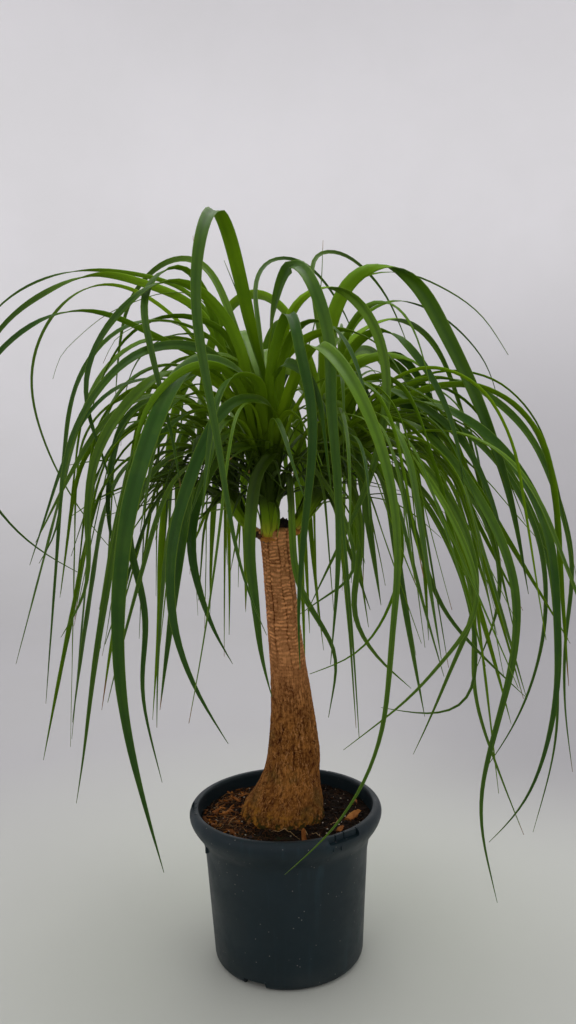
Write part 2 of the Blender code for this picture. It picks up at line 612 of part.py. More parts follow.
def pot_profile():
    """The pot's outline from its underside, up the outside, over the lip and down the inside."""
    corner = []
    for i in range(3):
        angle = math.radians(-90 + 80 * i / 2)
        corner.append((FOOT_RADIUS + FOOT_CORNER * math.cos(angle), FOOT_CORNER + FOOT_CORNER * math.sin(angle)))
    inner_foot = WALL_FOOT_RADIUS - WALL
    return (
        [
            (0, 0),
            (PAD_RADIUS, 0),
            (PAD_RADIUS + 2, PANEL_RISE),
            (FOOT_RADIUS - 11, PANEL_RISE),
            (FOOT_RADIUS - 9, 0),
        ]
        + corner
        + [
            (WALL_AT_SKIRT, SKIRT_FOOT_Z - 5),
            (WALL_AT_RIM, POT_HEIGHT - 6),
            (WALL_AT_RIM + 2, POT_HEIGHT - 3),
            (LIP_OUTER - 2, POT_HEIGHT - 3),
            (SKIRT_WIDEST - WALL, SKIRT_WIDEST_Z),
            (SKIRT_UPPER - WALL, SKIRT_UPPER_Z + 1),
            (SKIRT_MIDDLE - WALL, SKIRT_MIDDLE_Z + 1),
            (SKIRT_FOOT_RADIUS - 1.6, SKIRT_FOOT_Z),
            (SKIRT_FOOT_RADIUS, SKIRT_FOOT_Z - 1),
            (SKIRT_MIDDLE, SKIRT_MIDDLE_Z),
            (SKIRT_UPPER, SKIRT_UPPER_Z),
            (SKIRT_WIDEST, SKIRT_WIDEST_Z),
            (SKIRT_WIDEST - 1.0, SKIRT_WIDEST_Z + 6),
            (LIP_OUTER - 1, POT_HEIGHT),
            (LIP_INNER, POT_HEIGHT),
            (WALL_AT_RIM - WALL, POT_HEIGHT - 7),
            (WALL_AT_SKIRT - WALL, SKIRT_FOOT_Z - 5),
            (inner_foot, FLOOR_TOP + 6),
            (inner_foot - 5, FLOOR_TOP),
            (0, FLOOR_TOP),
        ]
    )


def build_pot(material):
    pot = new_object("pot", lathe("pot", pot_profile(), POT_SIDES), material)
    cuts = []
    mid = SKIRT_WIDEST + 4 - SLOT_DEPTH / 2
    for number, angle in enumerate(SLOT_ANGLES):
        for side in (-1, 0, 1):
            width = (SLOT_SIZE[0] - 2 * SLOT_RIB) / 3
            size = (SLOT_DEPTH, width, SLOT_SIZE[1])
            place = (mid, side * (width + SLOT_RIB), SLOT_Z)
            cuts.append(block(f"slot_{number}_{side}", size, place, angle))
    for number, angle in enumerate(NOTCH_ANGLES):
        size = (34, NOTCH_SIZE[0], NOTCH_SIZE[1] * 2)
        cuts.append(block(f"notch_{number}", size, (FOOT_RADIUS + 7, 0, -NOTCH_SIZE[1] + PANEL_RISE - 0.5), angle))
    for i in range(DRAIN_COUNT):
        cuts.append(peg(f"drain_{i}", DRAIN_RADIUS, -5, FLOOR_TOP + 5, DRAIN_RING, 360 * (i + 0.5) / DRAIN_COUNT))
    apply_boolean(pot, "DIFFERENCE", cuts)
    return pot


def trunk_rings(extra=0.0):
    """Rings of trunk outline points in metres, with the ridges that old leaves left."""
    low = TRUNK[0][0]
    high = TRUNK[-1][0]
    count = round((high - low) / TRUNK_STEP)
    line = catmull_rom([(row[0], row[1] / 2, row[2]) for row in TRUNK], 200)
    rings = []
    for i in range(count + 1):
        height = low + (high - low) * i / count
        radius = float(np.interp(height, line[:, 0], line[:, 1]))
        centre = float(np.interp(height, line[:, 0], line[:, 2]))
        ring = []
        for k in range(TRUNK_SIDES):
            angle = 2 * math.pi * (k + 0.5 * (i % 2)) / TRUNK_SIDES
            spot = Vector((math.cos(angle) * 1.4, math.sin(angle) * 1.4, height * 0.16))
            swell = 1 + 0.055 * noise.noise(spot) * min(1.0, (52 - height) / 14)
            ridge = BARK_RIDGE * (1 if i % 2 else -1) if 18 < height < 50 else 0.0
            reach = radius * swell + ridge + extra * 0.1
            ring.append((centre + reach * math.cos(angle), reach * math.sin(angle), height))
        rings.append(ring)
    return rings


def trunk_mesh(name, extra=0.0):
    bm = bmesh.new()
    rings = trunk_rings(extra)
    low = (rings[0][0][2] - extra * 0.1) * CM
    high = (rings[-1][0][2] + extra * 0.1) * CM
    levels = [[bm.verts.new((TRUNK[0][2] * CM, 0, low))]]
    for ring in rings:
        levels.append([bm.verts.new(Vector(point) * CM) for point in ring])
    for vert in levels[1]:
        vert.co.z -= extra * MM
    for vert in levels[-1]:
        vert.co.z += extra * MM
    levels.append([bm.verts.new((TRUNK[-1][2] * CM, 0, high))])
    for number, (lower, upper) in enumerate(zip(levels[1:-2], levels[2:-1])):
        for k in range(TRUNK_SIDES):
            j = (k + 1) % TRUNK_SIDES
            if number % 2 == 0:
                bm.faces.new((lower[k], lower[j], upper[k]))
                bm.faces.new((lower[j], upper[j], upper[k]))
            else:
                bm.faces.new((lower[k], lower[j], upper[j]))
                bm.faces.new((lower[k], upper[j], upper[k]))
    for pole, ring in ((levels[0][0], levels[1]), (levels[-1][0], levels[-2])):
        for k in range(TRUNK_SIDES):
            bm.faces.new((pole, ring[k], ring[(k + 1) % TRUNK_SIDES]))
    return mesh_from_bmesh(name, bm)


def build_trunk(material):
    return new_object("trunk", trunk_mesh("trunk"), material)


def build_soil(material):
    """Soil that fills the pot, bumpy on top, with the trunk's plain hole."""
    inner_foot = WALL_FOOT_RADIUS - WALL - CLEARANCE
    side_low = FLOOR_TOP + CLEARANCE
    edge = WALL_AT_SKIRT - WALL - CLEARANCE
    bm = bmesh.new()
    rings = [[bm.verts.new((0, 0, side_low * MM))]]
    outline = ((inner_foot - 5.2, side_low), (inner_foot, side_low + 6), (edge, SKIRT_FOOT_Z - 5))
    steps = [(radius, height, False) for radius, height in outline]
    flare = (WALL_AT_RIM - WALL_AT_SKIRT) / (POT_HEIGHT - 2 - SKIRT_FOOT_Z)
    top_edge = edge + (SOIL_TOP - SKIRT_FOOT_Z + 5) * flare
    for i in range(SOIL_RINGS):
        steps.append((top_edge * (1 - i / SOIL_RINGS), SOIL_TOP - (2 if i == 0 else 0), i > 0))
    for radius, height, bumpy in steps:
        ring = []
        for k in range(SOIL_SIDES):
            angle = 2 * math.pi * k / SOIL_SIDES
            x = radius * math.cos(angle)
            y = radius * math.sin(angle)
            lift = SOIL_BUMP * noise.noise(Vector((x, y, 3.0)) / 11) if bumpy else 0.0
            ring.append(bm.verts.new((x * MM, y * MM, (height + lift) * MM)))
        rings.append(ring)
    rings.append([bm.verts.new((0, 0, SOIL_TOP * MM))])
    join_rings(bm, rings)
    bmesh.ops.triangulate(bm, faces=bm.faces)
    soil = new_object("soil", mesh_from_bmesh("soil", bm), material)
    hole = new_object("hole", trunk_mesh("hole", CLEARANCE))
    apply_boolean(soil, "DIFFERENCE", [hole])
    return soil


def stem_mesh(name, head):
    """The short stem in the middle of a head, which the leaves' roots are sunk in."""
    _, foot, top = STEMS[head]
    line = stem_line(head, 7)
    bm = bmesh.new()
    rings = [[bm.verts.new(Vector(line[0]) * CM)]]
    for i, point in enumerate(line):
        ahead = Vector(line[min(i + 1, len(line) - 1)] - line[max(i - 1, 0)]).normalized()
        side = ahead.cross(Vector((0, 1, 0))).normalized()
        other = ahead.cross(side)
        radius = foot + (top - foot) * i / (len(line) - 1)
        ring = []
        for k in range(STEM_SIDES):
            angle = 2 * math.pi * k / STEM_SIDES
            spot = Vector(point) + (side * math.cos(angle) + other * math.sin(angle)) * radius
            ring.append(bm.verts.new(spot * CM))
        rings.append(ring)
    rings.append([bm.verts.new((Vector(line[-1]) + ahead * 0.6) * CM)])
    join_rings(bm, rings)
    return mesh_from_bmesh(name, bm)


def fill_cavities(obj):
    """Keeps the outer skin only, where crossing blades had closed a pocket between them."""
    bm = bmesh.new()
    bm.from_mesh(obj.data)
    bmesh.ops.triangulate(bm, faces=bm.faces)
    unseen = set(bm.faces)
    shells = []
    while unseen:
        shell = [unseen.pop()]
        for face in shell:
            for edge in face.edges:
                for other in edge.link_faces:
                    if other in unseen:
                        unseen.remove(other)
                        shell.append(other)
        shells.append(shell)
    shells.sort(key=len)
    loose = [face for shell in shells[:-1] for face in shell]
    bmesh.ops.delete(bm, geom=loose, context="FACES")
    bm.to_mesh(obj.data)
    bm.free()


def build_heads(material):
    leaves = all_leaves()
    heads = [leaf[0] for leaf in leaves]
    halves = np.array([leaf[1] for leaf in leaves])
    lines = np.stack([leaf[2] for leaf in leaves])
    twists = turn_to_front(lines, [leaf[3] for leaf in leaves])
    lines = bend_clear(lines, halves, twists, heads)
    _, across = across_vectors(lines, twists)
    solids = []
    trees = []
    for number, head in enumerate(heads):
        mesh = leaf_mesh(f"leaf_{number}", lines[number], halves[number], across[number])
        solids.append(new_object(mesh.name, mesh))
        corners = [vert.co for vert in mesh.vertices]
        trees.append(BVHTree.FromPolygons(corners, [list(face.vertices) for face in mesh.polygons]))
    dropped = set(LEFT_OUT)
    for i in range(len(heads)):
        for j in range(i + 1, len(heads)):
            if heads[i] == heads[j] or i in dropped or j in dropped:
                continue
            if trees[i].overlap(trees[j]):
                dropped.add(j)
    built = []
    for head in STEMS:
        stem = new_object(head, stem_mesh(head, head), material)
        apply_boolean(stem, "DIFFERENCE", [new_object("seat", trunk_mesh("seat", CLEARANCE))])
        own = [solids[k] for k in range(len(heads)) if heads[k] == head and k not in dropped]
        apply_boolean(stem, "UNION", own, "MANIFOLD")
        fill_cavities(stem)
        built.append(stem)
    for k in sorted(dropped):
        bpy.data.objects.remove(solids[k])
    return built


def main():
    for obj in list(bpy.data.objects):
        bpy.data.objects.remove(obj)
    pot_plastic = new_material("pot_plastic", (0.035, 0.045, 0.055), 0.45)
    bark = new_material("bark", (0.22, 0.11, 0.05), 0.85)
    earth = new_material("earth", (0.035, 0.02, 0.014), 0.95)
    leaf_green = new_material("leaf_green", (0.07, 0.18, 0.03), 0.42)
    build_pot(pot_plastic)
    build_soil(earth)
    build_trunk(bark)
    build_heads(leaf_green)


main()
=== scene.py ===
"""A potted ponytail palm: nursery pot, soil with bark and coir, corky trunk and three leafy heads.

The plant's tables are in centimetres and the pot's in millimetres, as in the CAD model. The
origin is the centre of the pot's foot on the floor, +Z is up and -Y is the front.
"""
import math
import random

import bmesh
import bpy
import numpy as np
from bpy.props import FloatProperty, FloatVectorProperty, IntProperty, PointerProperty
from mathutils import Matrix, Vector, kdtree, noise


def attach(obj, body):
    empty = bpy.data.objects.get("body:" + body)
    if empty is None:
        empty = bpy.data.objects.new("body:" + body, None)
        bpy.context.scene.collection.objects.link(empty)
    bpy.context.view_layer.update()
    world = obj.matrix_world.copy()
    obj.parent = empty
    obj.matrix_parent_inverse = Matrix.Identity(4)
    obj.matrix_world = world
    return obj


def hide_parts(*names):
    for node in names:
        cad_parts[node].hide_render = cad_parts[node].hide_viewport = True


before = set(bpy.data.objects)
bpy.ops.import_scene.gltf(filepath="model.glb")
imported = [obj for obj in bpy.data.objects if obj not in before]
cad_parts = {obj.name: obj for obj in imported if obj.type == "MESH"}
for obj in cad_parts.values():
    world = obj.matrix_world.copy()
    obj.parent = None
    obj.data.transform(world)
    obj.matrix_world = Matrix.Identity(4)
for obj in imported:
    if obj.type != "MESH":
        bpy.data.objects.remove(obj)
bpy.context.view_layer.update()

bl_info = {
    "name": "Potted Ponytail Palm",
    "version": (1, 0, 0),
    "blender": (4, 5, 0),
    "location": "View3D > Sidebar > Palm",
    "description": "Dresses a potted palm's CAD model with its visible pieces and finishes",
    "category": "Object",
}

CM = 0.01
MM = 0.001

# The pot, in millimetres.
POT_HEIGHT = 183.0
WALL = 2.2
FOOT_RADIUS = 78.5
PAD_RADIUS = 26.0
PANEL_RISE = 3.5
FLOOR_TOP = 6.0
WALL_FOOT_RADIUS = 87.7
SKIRT_Z = 131.0
WALL_AT_SKIRT = 95.6
COLLAR = (
    (98.9, 148.0),
    (104.6, 155.8),
    (110.6, 164.8),
    (113.4, 172.5),
    (112.6, 178.5),
    (109.0, 183.0),
    (103.4, 183.0),
)
COLLAR_WIDEST = 113.5
WINDOW_ANGLES = (305.5, 185.5, 65.5)
WINDOW_SPAN = (-21.0, 21.0)
WINDOW_Z = (175.6, 187.0)
WINDOW_DEPTH = 6.2
WINDOW_ROUNDING = 2.6
GAP_PLACES = (-10.2, 1.6, 19.4)
GAP_WIDTH = 1.4
GAP_DEPTH = 9.2
TICK_TURNS = (-8.0, -3.0)
TICK_SIZE = (2.4, 1.3, 5.2)
TICK_DROP = 3.4
TAB_ANGLE = 203.5
TAB_SIZE = (4.6, 2.2, 7.0)
TAB_Z = 144.5
NOTCH_ANGLES = (243.0, 3.0, 123.0)
NOTCH_SIZE = (28.0, 9.0)
NOTCH_INNER = 72.0
NOTCH_REACH = 30.0
DRAIN_COUNT = 8
DRAIN_RADIUS = 5.0
DRAIN_RING = 52.0
LIP_INSIDE = ((102.2, 180.0), (101.4, 168.0))

# The soil, in millimetres.
SOIL_TOP = 168.0
SOIL_BUMP = 3.2
SOIL_GRAIN = 1.5
SOIL_CRUMB = 0.8
SOIL_GAP = 0.4
SOIL_SPREAD = 7.6
SOIL_RINGS = 66
SOIL_STEPS = 200
LITTER_REACH = 98
LITTER_OFF_TRUNK = 44
FIBRE_REACH = 92

# The litter on the soil, in millimetres, with a chip's width as a share of its length.
CHIP_LENGTHS = (2.5, 7)
CHIP_WIDTHS = (0.25, 0.6)
CHIP_THICKNESSES = (0.7, 1.9)
FIBRE_LENGTHS = (5, 20)
FIBRE_RADII = (0.16, 0.34)
FIBRE_ARCHES = (0, 2.4)
PERLITE_RADII = (0.45, 1.15)

# The trunk in centimetres: height, diameter and centre x.
TRUNK = (
    (12.6, 3.0, -0.6),
    (13.2, 6.4, -0.6),
    (14.6, 9.0, -0.6),
    (16.4, 10.2, -0.5),
    (17.7, 9.8, -0.4),
    (19.0, 8.8, 0.0),
    (20.7, 7.5, 0.5),
    (22.2, 6.65, 0.8),
    (23.8, 6.2, 1.05),
    (27.2, 5.5, 1.1),
    (33.9, 4.4, 0.85),
    (40.6, 3.8, 0.3),
    (47.0, 3.45, -0.15),
    (49.6, 3.4, -0.35),
    (50.3, 3.2, -0.4),
    (50.6, 2.6, -0.4),
)

# The bark's own top rows, which flare and close a little higher than the plain trunk.
BARK_TOP = (
    (49.4, 3.42, -0.35),
    (50.2, 3.56, -0.38),
    (50.75, 3.5, -0.4),
    (51.0, 2.8, -0.4),
)

FRONT = "head_front"
RIGHT = "head_right"
LEFT = "head_left"

# Each head's short stem in centimetres: the points it runs through, and its radius at
# its foot and its top.
STEMS = {
    FRONT: (((-0.95, -0.75, 49.2), (-0.95, -0.95, 51.5), (-0.8, -1.0, 55), (-0.7, -1.0, 58.5)), 1.05, 1.0),
    RIGHT: (((0.7, 1.05, 49.6), (2.4, 1.3, 51.2), (4.6, 2.1, 55), (6.6, 2.9, 60)), 0.8, 0.9),
    LEFT: (((-1.75, 1.0, 49.8), (-3.9, 2.8, 51.3), (-5.3, 4.1, 54), (-5.8, 4.8, 57.5)), 0.6, 0.7),
}

# The leaves that shape the plant's outline: head, widest width in millimetres, how high up
# the head's stem it starts (0 to 1), and the points it passes through in centimetres.
LEAVES = (
    (FRONT, 17, 0.7, (-2, -2, 70), (-4, -7, 82), (-5, -11, 85), (-6, -15, 83), (-7, -18, 75),
     (-5, -22, 62), (-3, -24, 49), (-1, -24, 44)),
    (FRONT, 9, 0.6, (-6, -2, 74), (-8, -4, 79), (-10, -7, 80), (-13, -9, 77), (-12, -12, 70),
     (-10, -14, 62), (-9, -15, 55)),
    (FRONT, 8, 0.8, (-5, 3, 76), (-8, 6, 82), (-13, 10, 83), (-18, 13, 79), (-20, 15, 73), (-21, 16, 66)),
    (FRONT, 9, 0.7, (-8, 1, 76), (-14, 3, 79), (-20, 5, 81), (-27, 6, 79), (-33, 7, 75), (-37, 8, 68),
     (-39, 8, 60)),
    (FRONT, 5, 0.8, (-9, 5, 78), (-16, 7, 81), (-23, 9, 82), (-29, 10, 81), (-35, 10, 77), (-38, 10, 71)),
    (FRONT, 4, 0.6, (-9, 1, 73), (-16, 4, 79), (-22, 7, 80), (-28, 10, 76), (-31, 12, 69), (-29, 13, 59),
     (-25, 14, 51), (-21, 14, 46)),
    (FRONT, 6, 0.6, (-7, -4, 70), (-12, -6, 72), (-17, -8, 75), (-22, -9, 75), (-28, -10, 71),
     (-32, -10, 64), (-30, -11, 57), (-25, -12, 51), (-20, -12, 48)),
    (FRONT, 13, 0.7, (-4, -4, 72), (-7, -6, 77), (-11, -8, 78), (-15, -10, 75), (-18, -11, 71),
     (-19, -12, 66), (-17, -12, 59), (-16, -12, 54)),
    (FRONT, 11, 0.5, (-5, -6, 69), (-8, -8, 71), (-12, -11, 71), (-16, -14, 68), (-20, -16, 61),
     (-21, -17, 53), (-23, -17, 50)),
    (FRONT, 11, 0.6, (-5, -5, 67), (-8, -7, 69), (-12, -10, 68), (-15, -12, 65), (-18, -13, 60),
     (-19, -13, 54), (-19, -14, 47), (-22, -14, 42)),
    (FRONT, 17, 0.5, (-3, -6, 68), (-7, -10, 70), (-10, -14, 67), (-13, -18, 59), (-15, -20, 46),
     (-15, -20, 37), (-14, -19, 29), (-12, -18, 19)),
    (LEFT, 9, 0.9, (-10, 2, 66), (-16, 0, 65), (-19, -2, 57), (-19, -2, 52), (-18, -2, 46)),
    (FRONT, 9, 0.4, (-4, -7, 68), (-8, -12, 69), (-11, -15, 66), (-13, -17, 61), (-13, -18, 56)),
    (FRONT, 10, 0.4, (-5, -3, 66), (-9, -4, 67), (-14, -5, 62), (-17, -5, 54), (-19, -5, 45), (-21, -4, 36),
     (-23, -3, 25), (-24, -3, 20)),
    (FRONT, 9, 0.3, (-4, -3, 63), (-8, -5, 65), (-13, -7, 61), (-16, -8, 53), (-14, -9, 43), (-15, -9, 35),
     (-13, -10, 25)),
    (FRONT, 13, 0.4, (-2, -5, 65), (-4, -9, 66), (-7, -13, 61), (-10, -17, 52), (-10, -19, 44),
     (-8, -20, 38), (-5, -21, 33)),
    (FRONT, 12, 0.1, (-2.5, -3, 60), (-5, -5, 61), (-8, -8, 56), (-9, -10, 50), (-7, -11, 42), (-5, -11, 38)),
    (FRONT, 13, 0.2, (-1, -3, 60), (-2, -6, 58), (-3, -8, 50), (-2.5, -9, 44), (-2, -9, 38), (-1, -10, 34)),
    (FRONT, 13, 0.9, (0, -3, 73), (1, -5, 78), (2, -8, 80), (4, -11, 78), (5, -14, 68), (6, -15, 57),
     (6, -16, 49), (5, -16, 39)),
    (FRONT, 11, 0.7, (0, -4, 67), (1, -7, 73), (2, -10, 75), (3, -12, 72), (4, -14, 63), (3, -14, 54),
     (2, -14, 45), (2, -14, 38)),
    (FRONT, 11, 0.8, (1, -1, 73), (3, -2, 77), (7, -4, 78), (11, -6, 73), (12, -8, 66), (10, -9, 57),
     (6, -9, 49), (3, -9, 43)),
    (RIGHT, 17, 0.9, (6, 1, 71), (8, 1, 78), (11, 1, 81), (15, 0, 80), (19, -1, 73), (23, -2, 64),
     (26, -3, 54), (28, -3, 43)),
    (FRONT, 15, 0.8, (1, -5, 65), (3, -10, 70), (5, -14, 71), (7, -18, 68), (10, -22, 60), (11, -24, 52),
     (10, -25, 43), (9, -25, 34), (5, -24, 26), (0, -23, 21)),
    (RIGHT, 14, 0.4, (6, -1, 66), (7, -3, 64), (9, -5, 59), (10, -6, 51), (11, -7, 43)),
    (FRONT, 5, 0.9, (-1.5, 3, 73), (-2, 7, 80), (0, 10, 83), (4, 13, 83), (8, 16, 79), (11, 18, 72)),
    (RIGHT, 5, 0.8, (5, 6, 77), (5, 9, 83), (8, 12, 84), (11, 15, 83), (15, 18, 79), (18, 19, 72)),
    (RIGHT, 4, 0.8, (7, 3, 76), (11, 5, 80), (16, 5, 80), (20, 4, 78), (24, 3, 75), (27, 2, 70)),
    (RIGHT, 6, 0.8, (9, 8, 74), (13, 10, 77), (16, 13, 78), (22, 16, 76), (28, 18, 70), (30, 19, 64)),
    (RIGHT, 9, 0.6, (13, 0, 66), (19, 0, 68), (25, 0, 65), (29, 0, 61), (32, 0, 54), (34, 0, 46),
     (33, 0, 37), (33, 0, 29), (34, 0, 21)),
    (RIGHT, 11, 0.5, (12, -2, 65), (19, -5, 64), (25, -6, 59), (29, -7, 51), (30, -7, 41), (30, -7, 32),
     (27, -6, 20), (23, -5, 15)),
    (RIGHT, 7, 0.6, (14, 5, 66), (22, 7, 64), (29, 9, 56), (34, 10, 45), (35, 10, 32), (35, 10, 21),
     (32, 10, 9)),
    (RIGHT, 7, 0.4, (13, 2, 64), (20, 3, 63), (26, 4, 58), (31, 4, 49), (32, 4, 40), (31, 4, 33),
     (28, 3, 26), (24, 3, 20)),
    (RIGHT, 10, 0.3, (11, -1, 64), (16, -4, 62), (22, -7, 54), (25, -9, 46), (25, -9, 38), (23, -9, 30),
     (21, -9, 21), (23, -9, 10)),
    (RIGHT, 9, 0.5, (10, -1, 67), (15, -3, 65), (20, -5, 61), (23, -7, 54), (25, -8, 44)),
    (RIGHT, 14, 0.6, (9, 3, 67), (14, 4, 66), (19, 4, 60), (24, 4, 53), (26, 4, 47)),
    (RIGHT, 12, 0.7, (9, 5, 70), (13, 7, 71), (18, 10, 66), (22, 12, 59), (24, 13, 52)),
    (RIGHT, 10, 0.7, (8, 0, 70), (12, -3, 73), (16, -5, 69), (19, -7, 62), (20, -8, 54)),
    (RIGHT, 8, 0.2, (10, 0, 61), (16, -5, 58), (20, -8, 51), (21, -9, 44), (18, -9, 36), (15, -9, 29),
     (14, -9, 27)),
    (RIGHT, 6, 0.3, (10, -3, 62), (15, -9, 58), (19, -13, 50), (20, -15, 44), (16, -16, 39), (13, -17, 36),
     (6, -18, 31)),
    (RIGHT, 9, 0.3, (12, 5, 61), (18, 6, 59), (26, 9, 50), (28, 11, 40), (25, 12, 30)),
    (RIGHT, 6, 0.2, (9, 0, 60), (13, -3, 58), (15, -4, 51), (18, -5, 42), (22, -6, 37), (27, -6, 32)),
    (RIGHT, 6, 0.1, (10, 2, 58), (15, 2, 57), (20, 3, 50), (23, 3, 42), (23, 3, 30), (26, 3, 20),
     (29, 3, 12)),
    (RIGHT, 6, 0.2, (10, 1, 59), (15, 0, 56), (20, -2, 47), (22, -3, 38), (21, -4, 31), (17, -5, 30),
     (11, -5, 31)),
    (RIGHT, 8, 0.1, (6, -1, 59), (8, -4, 57), (9, -6, 50), (8, -7, 42), (10, -8, 38), (14, -8, 34)),
    (FRONT, 7, 0.1, (1, -3, 58), (1.5, -6, 56), (2, -8, 46), (4, -8, 42), (6, -8, 38), (5, -8, 31)),
    (FRONT, 5, 0.2, (1.5, -4, 59), (4, -7, 58), (7, -9, 53), (8, -10, 47), (5, -11, 45), (2, -11, 43)),
    (RIGHT, 4, 0.2, (7, -4, 61), (11, -9, 58), (13, -11, 50), (11, -12, 43), (8, -12, 39), (3, -12, 37)),
)

# Leaves drawn by a rule: the head, how many, the headings they spread over, the first rise in
# degrees, the length in centimetres, the widest width in millimetres, and where they turn over
# as a share of the length.
DRAWN = (
    (FRONT, 9, (75, 200), (66, 78), (56, 78), (10, 16), (0.14, 0.26)),
    (FRONT, 9, (150, 400), (76, 88), (28, 42), (11, 16), (0.26, 0.40)),
    (FRONT, 9, (60, 250), (30, 62), (34, 58), (8, 13), (0.10, 0.24)),
    (FRONT, 9, (170, 400), (15, 50), (18, 34), (3, 6), (0.10, 0.26)),
    (RIGHT, 10, (0, 130), (62, 78), (54, 76), (10, 16), (0.14, 0.26)),
    (RIGHT, 7, (-80, 140), (74, 86), (28, 42), (10, 14), (0.26, 0.38)),
    (RIGHT, 9, (-30, 120), (28, 60), (34, 58), (9, 14), (0.10, 0.24)),
    (RIGHT, 9, (-90, 130), (10, 46), (18, 34), (3, 6), (0.10, 0.26)),
    (LEFT, 8, (70, 210), (58, 80), (42, 66), (7, 12), (0.14, 0.30)),
    (LEFT, 8, (90, 250), (10, 50), (20, 40), (3, 7), (0.10, 0.26)),
)
DRAW_SEED = 45
# Leaves that are left out, by number in the order of all the leaves: they would cross another
# head's leaf, hide the bare trunk or widen the plant's outline.
LEFT_OUT = (59, 77, 81, 83, 88, 124)
# Leaves whose outer half is narrower than the rule makes it: number and share taken off.
SLENDER = {
    0: 0.35, 7: 0.35, 8: 0.2, 22: 0.55, 26: 0.5, 27: 0.5, 28: 0.2, 48: 0.45, 50: 0.55, 53: 0.55, 55: 0.45,
    56: 0.45, 61: 0.5, 85: 0.5, 98: 0.4, 119: 0.4, 121: 0.45, 122: 0.45,
}
# Leaves whose lightness shows in the picture: number and lightness from 0 to 1. The rest is drawn.
SHADES = {
    0: 0.3, 8: 0.2, 10: 0.06, 12: 0.35, 14: 0.1, 15: 0.0, 17: 0.4, 18: 0.3, 21: 0.4, 22: 0.7, 23: 0.75,
    28: 0.35,
}
# The slope in degrees that a drawn leaf ends with.
HANGS = (-86, -66)

# Fine thin leaves and short stiff inner ones that the CAD model leaves out: as above, then the
# slope in degrees that they end with.
THIN = (
    (FRONT, 9, (100, 330), (52, 76), (38, 54), (2.6, 4.6), (0.14, 0.30), HANGS),
    (FRONT, 26, (150, 430), (0, 62), (9, 19), (2.2, 4.8), (0.25, 0.55), (-64, -8)),
    (FRONT, 10, (175, 372), (46, 74), (18, 28), (5.0, 9.0), (0.28, 0.46), (-76, -44)),
    (RIGHT, 9, (-70, 110), (44, 72), (36, 54), (2.6, 4.6), (0.14, 0.30), HANGS),
    (RIGHT, 26, (-140, 130), (0, 58), (10, 20), (2.4, 5.0), (0.25, 0.55), (-66, -10)),
    (RIGHT, 12, (-115, 60), (30, 70), (17, 30), (5.0, 9.0), (0.25, 0.45), (-78, -46)),
    (RIGHT, 13, (-72, 50), (26, 60), (32, 47), (6.0, 10.5), (0.12, 0.28), (-80, -56)),
    (RIGHT, 16, (-80, 50), (20, 58), (28, 44), (3.4, 6.0), (0.12, 0.28), (-78, -48)),
    (FRONT, 7, (150, 230), (30, 62), (30, 44), (4.5, 8.0), (0.14, 0.32), (-80, -56)),
    (LEFT, 34, (105, 300), (-6, 64), (8, 21), (2.2, 4.6), (0.22, 0.55), (-66, -8)),
    (LEFT, 8, (150, 270), (30, 72), (16, 26), (4.0, 7.0), (0.25, 0.45), (-78, -46)),
)
THIN_SEED = 12

# Hair-thin leaves that stand out against the light, given as the outline's leaves are.
WISPS = (
    (FRONT, 2.0, 0.9, (-8, 1, 77), (-12, 2, 78), (-16, 2, 77), (-19, 1, 75.5), (-22, 0, 73), (-24, 0, 71),
     (-25, 0, 68.5)),
    (FRONT, 2.4, 0.7, (-5, -3, 69.5), (-8, -6, 72), (-10, -8, 73.5), (-13, -9, 73.5), (-16, -9, 72),
     (-17.5, -9, 69.5)),
    (FRONT, 2.4, 0.9, (-6, 3, 72), (-8, 5, 77.5), (-9, 7, 83), (-9.3, 8, 85.5)),
    (FRONT, 2.4, 0.9, (-2, 2, 72), (-4, 4, 78), (-5.5, 5, 82)),
    (FRONT, 2.2, 0.9, (4.5, 2, 73), (5.6, 3, 78), (6.1, 5, 84)),
)

# How the leaves' midlines are made, in centimetres and degrees.
GOLDEN = 0.618034
HALF_CM = 0.05  # half a width in centimetres for each millimetre of it
CURVE_STEPS = 24
SAMPLES = 61
TWIST = 85.0
DRIFT = 28.0
FACING_SHARE = 0.62
CAD_WIDTHS = ((0, 0.12, 0.35, 0.6, 0.85, 1.0), (0.92, 0.84, 1.0, 0.86, 0.46, 0.1))

# How the leaves are bent apart, in centimetres.
ROOT_FIXED = 4.0
ROOT_FREE = 13.0
CLEAR_ROUNDS = 48
THIN_ROUNDS = 16
PAIRS_EVERY = 6
PAIR_REACH = 3.4
PAIR_FREEDOM = 0.3
CROSSING_SINE = 0.35
CLEAR_GAP = 0.36
OWN_HEAD_GAP = 0.12
SOLID_GAP = 0.5
STEM_GAP = 0.35
STEM_POINTS = 10
POT_ROOM = 1.2
LEAST_HEIGHT = 1.5
TRUNK_TOP = 51.5
LARGEST_PUSH = 3
PUSH_WINDOW = 13
RELAXING = 0.12
TRUNK_KEPT_OPEN = 3.6

# The blades, in centimetres, and their widths and fold along the share of their length.
BLADE_ACROSS = 8
BLADE_ROWS = (22, 72)
BLADE_WIDTHS = (
    (0, 0.06, 0.14, 0.25, 0.38, 0.5, 0.62, 0.74, 0.85, 0.93, 1.0),
    (0.90, 0.85, 0.84, 0.93, 1.0, 0.95, 0.81, 0.61, 0.37, 0.18, 0.015),
)
BLADE_FOLD = ((0, 0.2, 0.5, 0.8, 1.0), (0.44, 0.38, 0.32, 0.24, 0.14))
FACING = 0.92
FACING_DRAWN = 0.5
TURNS_OVER = 0.75
STEM_SAMPLES = 61
SHEATH_LENGTH = 3.2
SHEATH_FADE = 12.0
SHEATH_ROUNDS = 60
ROW_STEP = 1.05

STEM_AROUND = 32
STEM_UP = 48

# The trunk's grid and bark.
TRUNK_AROUND = 216
TRUNK_UP = 400
BARK_COLUMNS = 9

